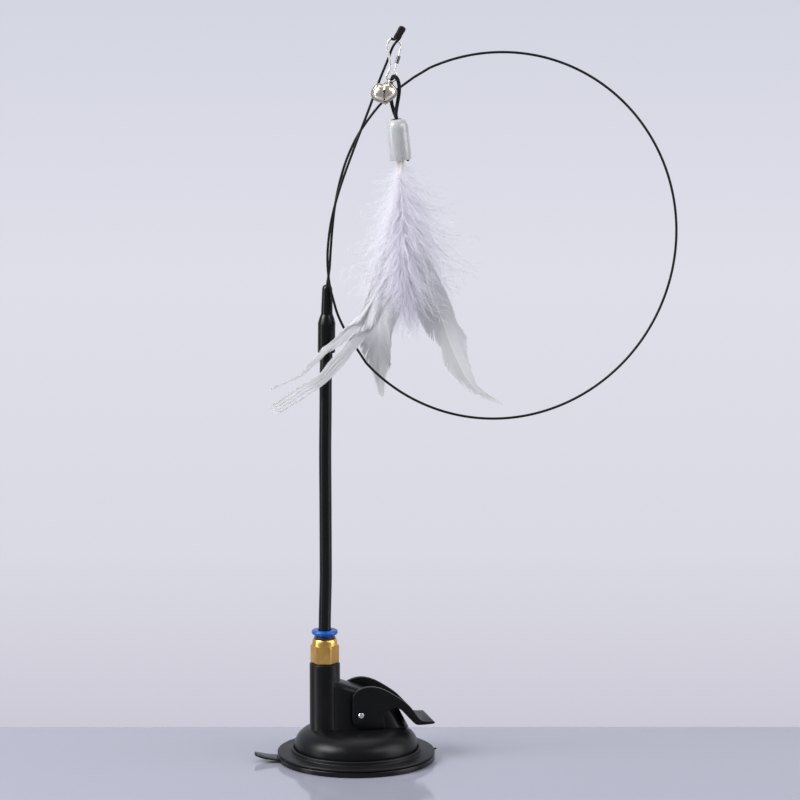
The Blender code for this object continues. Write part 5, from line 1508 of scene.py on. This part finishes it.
class TEASER_OT_down(Step):
    """Grows the two plumes of down that cover the top of the feathers"""
    bl_idname = "teaser.down"
    bl_label = "Down"

    def make(self, scene):
        sizes = scene.teaser_feathers
        down = barb_finish("down_barbs", sizes.down, 0.96, 0.6)
        barbs = barb_collection("down_barb", down_barb, sizes.seed + 2)
        for number, (node, (turn, shares)) in enumerate(PLUME_SHARES.items()):
            route, widths = feather_route(turn, sizes.plume_length, shares, 8)
            last = len(route) - 1
            slants = [math.radians(DOWN_SLANTS[0] + (DOWN_SLANTS[1] - DOWN_SLANTS[0]) * i / last)
                      for i in range(last + 1)]
            reaches = [width / max(math.sin(slant), 0.64) for width, slant in zip(widths, slants)]
            for layer, (size, inputs) in PLUME_LAYERS.items():
                line = shaft_line(node, route, [reach * size for reach in reaches], slants, AWAY,
                                  SHORTEST_BARB)
                mesh = grown(node, line, Barbs=barbs, Roll=0.0, Finish=down,
                             Seed=sizes.seed + DOWN_SEED + number + inputs["Count"], **inputs)
                replaced = [node] if layer == "down" else []
                add_piece(f"{node}_{layer}", soften(mesh), down, "feathers", "down", *replaced)
            quill(node, route, sizes)


class TEASER_OT_stage(Step):
    """Sets the floor, the backdrop, the lamps and the camera"""
    bl_idname = "teaser.stage"
    bl_label = "Stage"

    def make(self, scene):
        sizes = scene.teaser_stage
        toward = Vector((math.sin(sizes.turn), math.cos(sizes.turn), 0.0))
        right = Vector((toward.y, -toward.x, 0.0))
        low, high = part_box("gel_pad")
        pads = Vector((high.x - (high.y - low.y) / 2, 0.0, 0.0))
        self.camera(scene, sizes, pads, toward, right)
        self.floor(sizes, pads, toward, right)
        self.wall(sizes, pads, toward, right)
        self.lamps(pads, toward, right)
        self.world(scene)

    def camera(self, scene, sizes, pads, toward, right):
        data = bpy.data.cameras.new("camera")
        data.lens = sizes.lens
        data.sensor_width = 36.0
        data.clip_end = 50.0
        camera = link(bpy.data.objects.new("camera", data))
        camera.location = pads + right * sizes.aside - toward * sizes.distance + UP * sizes.height
        view = toward * math.cos(sizes.pitch) - UP * math.sin(sizes.pitch)
        camera.rotation_euler = view.to_track_quat("-Z", "Y").to_euler()
        scene.camera = camera

    def floor(self, sizes, pads, toward, right):
        """A glossy floor with faint smears, from just behind the pads to well in front of them."""
        made, book, shader = finish("floor", Specular_IOR_Level=0.5, IOR=1.45)
        haze = book.noise(book.coords(), 3.0, 2.0)
        smears = book.noise(book.coords(), 14.0, 3.0)
        feed(book, shader, Base_Color=book.mix(haze, shade(sizes.floor, 0.97), shade(sizes.floor, 1.03)),
             Roughness=0.07 + smears * 0.04)
        near, far, side = -0.45 * toward, 0.061 * toward, 2.5 * right
        self.panel("floor", made, [pads + near - side, pads + near + side,
                                   pads + far + side, pads + far - side])

    def wall(self, sizes, pads, toward, right):
        """A backdrop that glows with painted light where the camera, gloss or a clear part sees it, brightest
        in its middle.
        """
        made, book, shader = finish("wall", Roughness=0.9)
        place = book.add("ShaderNodeSeparateXYZ", None, {0: book.coords()}, output=2)
        low, high = -0.40, 0.34
        along = book.add("ShaderNodeMapRange", None, {0: place, 1: low, 2: high, 3: 0.0, 4: 1.0})
        # The ramp is painted light: a glow brightest in the middle of the backdrop, darker towards its foot
        # and its top.
        stops = [(0.0, sizes.wall_low), (0.22, shade(sizes.wall_middle, 0.95)),
                 (0.55, sizes.wall_middle), (1.0, sizes.wall_high)]
        ramp = book.add("ShaderNodeValToRGB", {"stops": stops}, {0: along})
        path = book.add("ShaderNodeLightPath")
        glossy = Socket(book, path.socket.node.outputs["Is Glossy Ray"])
        through = Socket(book, path.socket.node.outputs["Is Transmission Ray"])
        seen = path.calc("MAXIMUM", path, path.calc("MAXIMUM", glossy, through))
        glow = book.add("ShaderNodeEmission", None, {"Color": ramp, "Strength": 1.0})
        book.cover(shader, seen, glow)
        foot, low, high, side = pads + 1.6 * toward, -1.2 * UP, 2.4 * UP, 3.0 * right
        self.panel("wall", made, [foot + low - side, foot + low + side,
                                  foot + high + side, foot + high - side])

    def panel(self, name, material, corners):
        mesh = bpy.data.meshes.new(name)
        mesh.from_pydata([tuple(corner) for corner in corners], [], [(0, 1, 2, 3)])
        mesh.materials.append(material)
        link(bpy.data.objects.new(name, mesh))

    def lamps(self, pads, toward, right):
        """A broad lamp high at the left, a small one and a broad fill at the right, a strip, a soft top."""
        half_height = 0.17
        middle = pads + UP * half_height
        lamps = [("key", -right * 1.40 - toward * 0.62 + UP * 1.10, (1.0, 1.0), 45.0),
                 ("front_right", right * 1.10 - toward * 0.95 + UP * 0.95, (0.6, 0.6), 5.0),
                 ("right_fill", right * 1.35 - toward * 0.25 + UP * 0.45, (0.9, 1.2), 13.0),
                 ("left_strip", -right * 1.15 - toward * 0.32 + UP * 0.10, (0.22, 1.5), 7.0),
                 ("top", UP * 1.5 + toward * 0.35, (1.2, 1.2), 8.0)]
        for name, offset, size, power in lamps:
            data = bpy.data.lights.new(name, "AREA")
            data.shape = "RECTANGLE"
            data.size, data.size_y = size
            data.energy = power
            lamp = link(bpy.data.objects.new(name, data))
            lamp.location = middle + offset
            lamp.rotation_euler = (-offset).to_track_quat("-Z", "Y").to_euler()

    def world(self, scene):
        """A pale room that is brighter to the camera than to the surfaces, and colours left as they are."""
        world = bpy.data.worlds.new("studio")
        world.use_nodes = True
        background = world.node_tree.nodes["Background"]
        background.inputs["Color"].default_value = (0.86, 0.88, 0.94, 1.0)
        book = NodeBook(world.node_tree)
        seen = book.add("ShaderNodeLightPath")
        feed(book, background, Strength=0.30 + seen * 0.52)
        scene.world = world
        scene.view_settings.view_transform = "Standard"


class TEASER_PT_steps(bpy.types.Panel):
    """Lists the steps and their settings"""
    bl_idname = "TEASER_PT_steps"
    bl_label = "Cat teaser"
    bl_space_type = "VIEW_3D"
    bl_region_type = "UI"
    bl_category = "Cat teaser"

    def draw(self, context):
        for name, group in SETTINGS.items():
            box = self.layout.box()
            for key in group.__annotations__:
                box.prop(getattr(context.scene, name), key)
        for operator in OPERATORS:
            self.layout.operator(operator.bl_idname)


OPERATORS = (TEASER_OT_stage, TEASER_OT_pads, TEASER_OT_housing, TEASER_OT_fitting,
             TEASER_OT_rod_and_wire, TEASER_OT_clip, TEASER_OT_bell, TEASER_OT_cord_and_cap,
             TEASER_OT_feathers, TEASER_OT_down)


def register():
    for name, group in SETTINGS.items():
        bpy.utils.register_class(group)
        setattr(bpy.types.Scene, name, bpy.props.PointerProperty(type=group))
    for kind in (*OPERATORS, TEASER_PT_steps):
        bpy.utils.register_class(kind)


def unregister():
    for kind in (TEASER_PT_steps, *reversed(OPERATORS)):
        bpy.utils.unregister_class(kind)
    for name, group in SETTINGS.items():
        delattr(bpy.types.Scene, name)
        bpy.utils.unregister_class(group)


def main():
    register()
    bpy.ops.teaser.stage()
    bpy.ops.teaser.pads()
    bpy.ops.teaser.housing()
    bpy.ops.teaser.fitting()
    bpy.ops.teaser.rod_and_wire()
    bpy.ops.teaser.clip()
    bpy.ops.teaser.bell()
    bpy.ops.teaser.cord_and_cap()
    bpy.ops.teaser.feathers()
    bpy.ops.teaser.down()


if __name__ == "__main__":
    main()
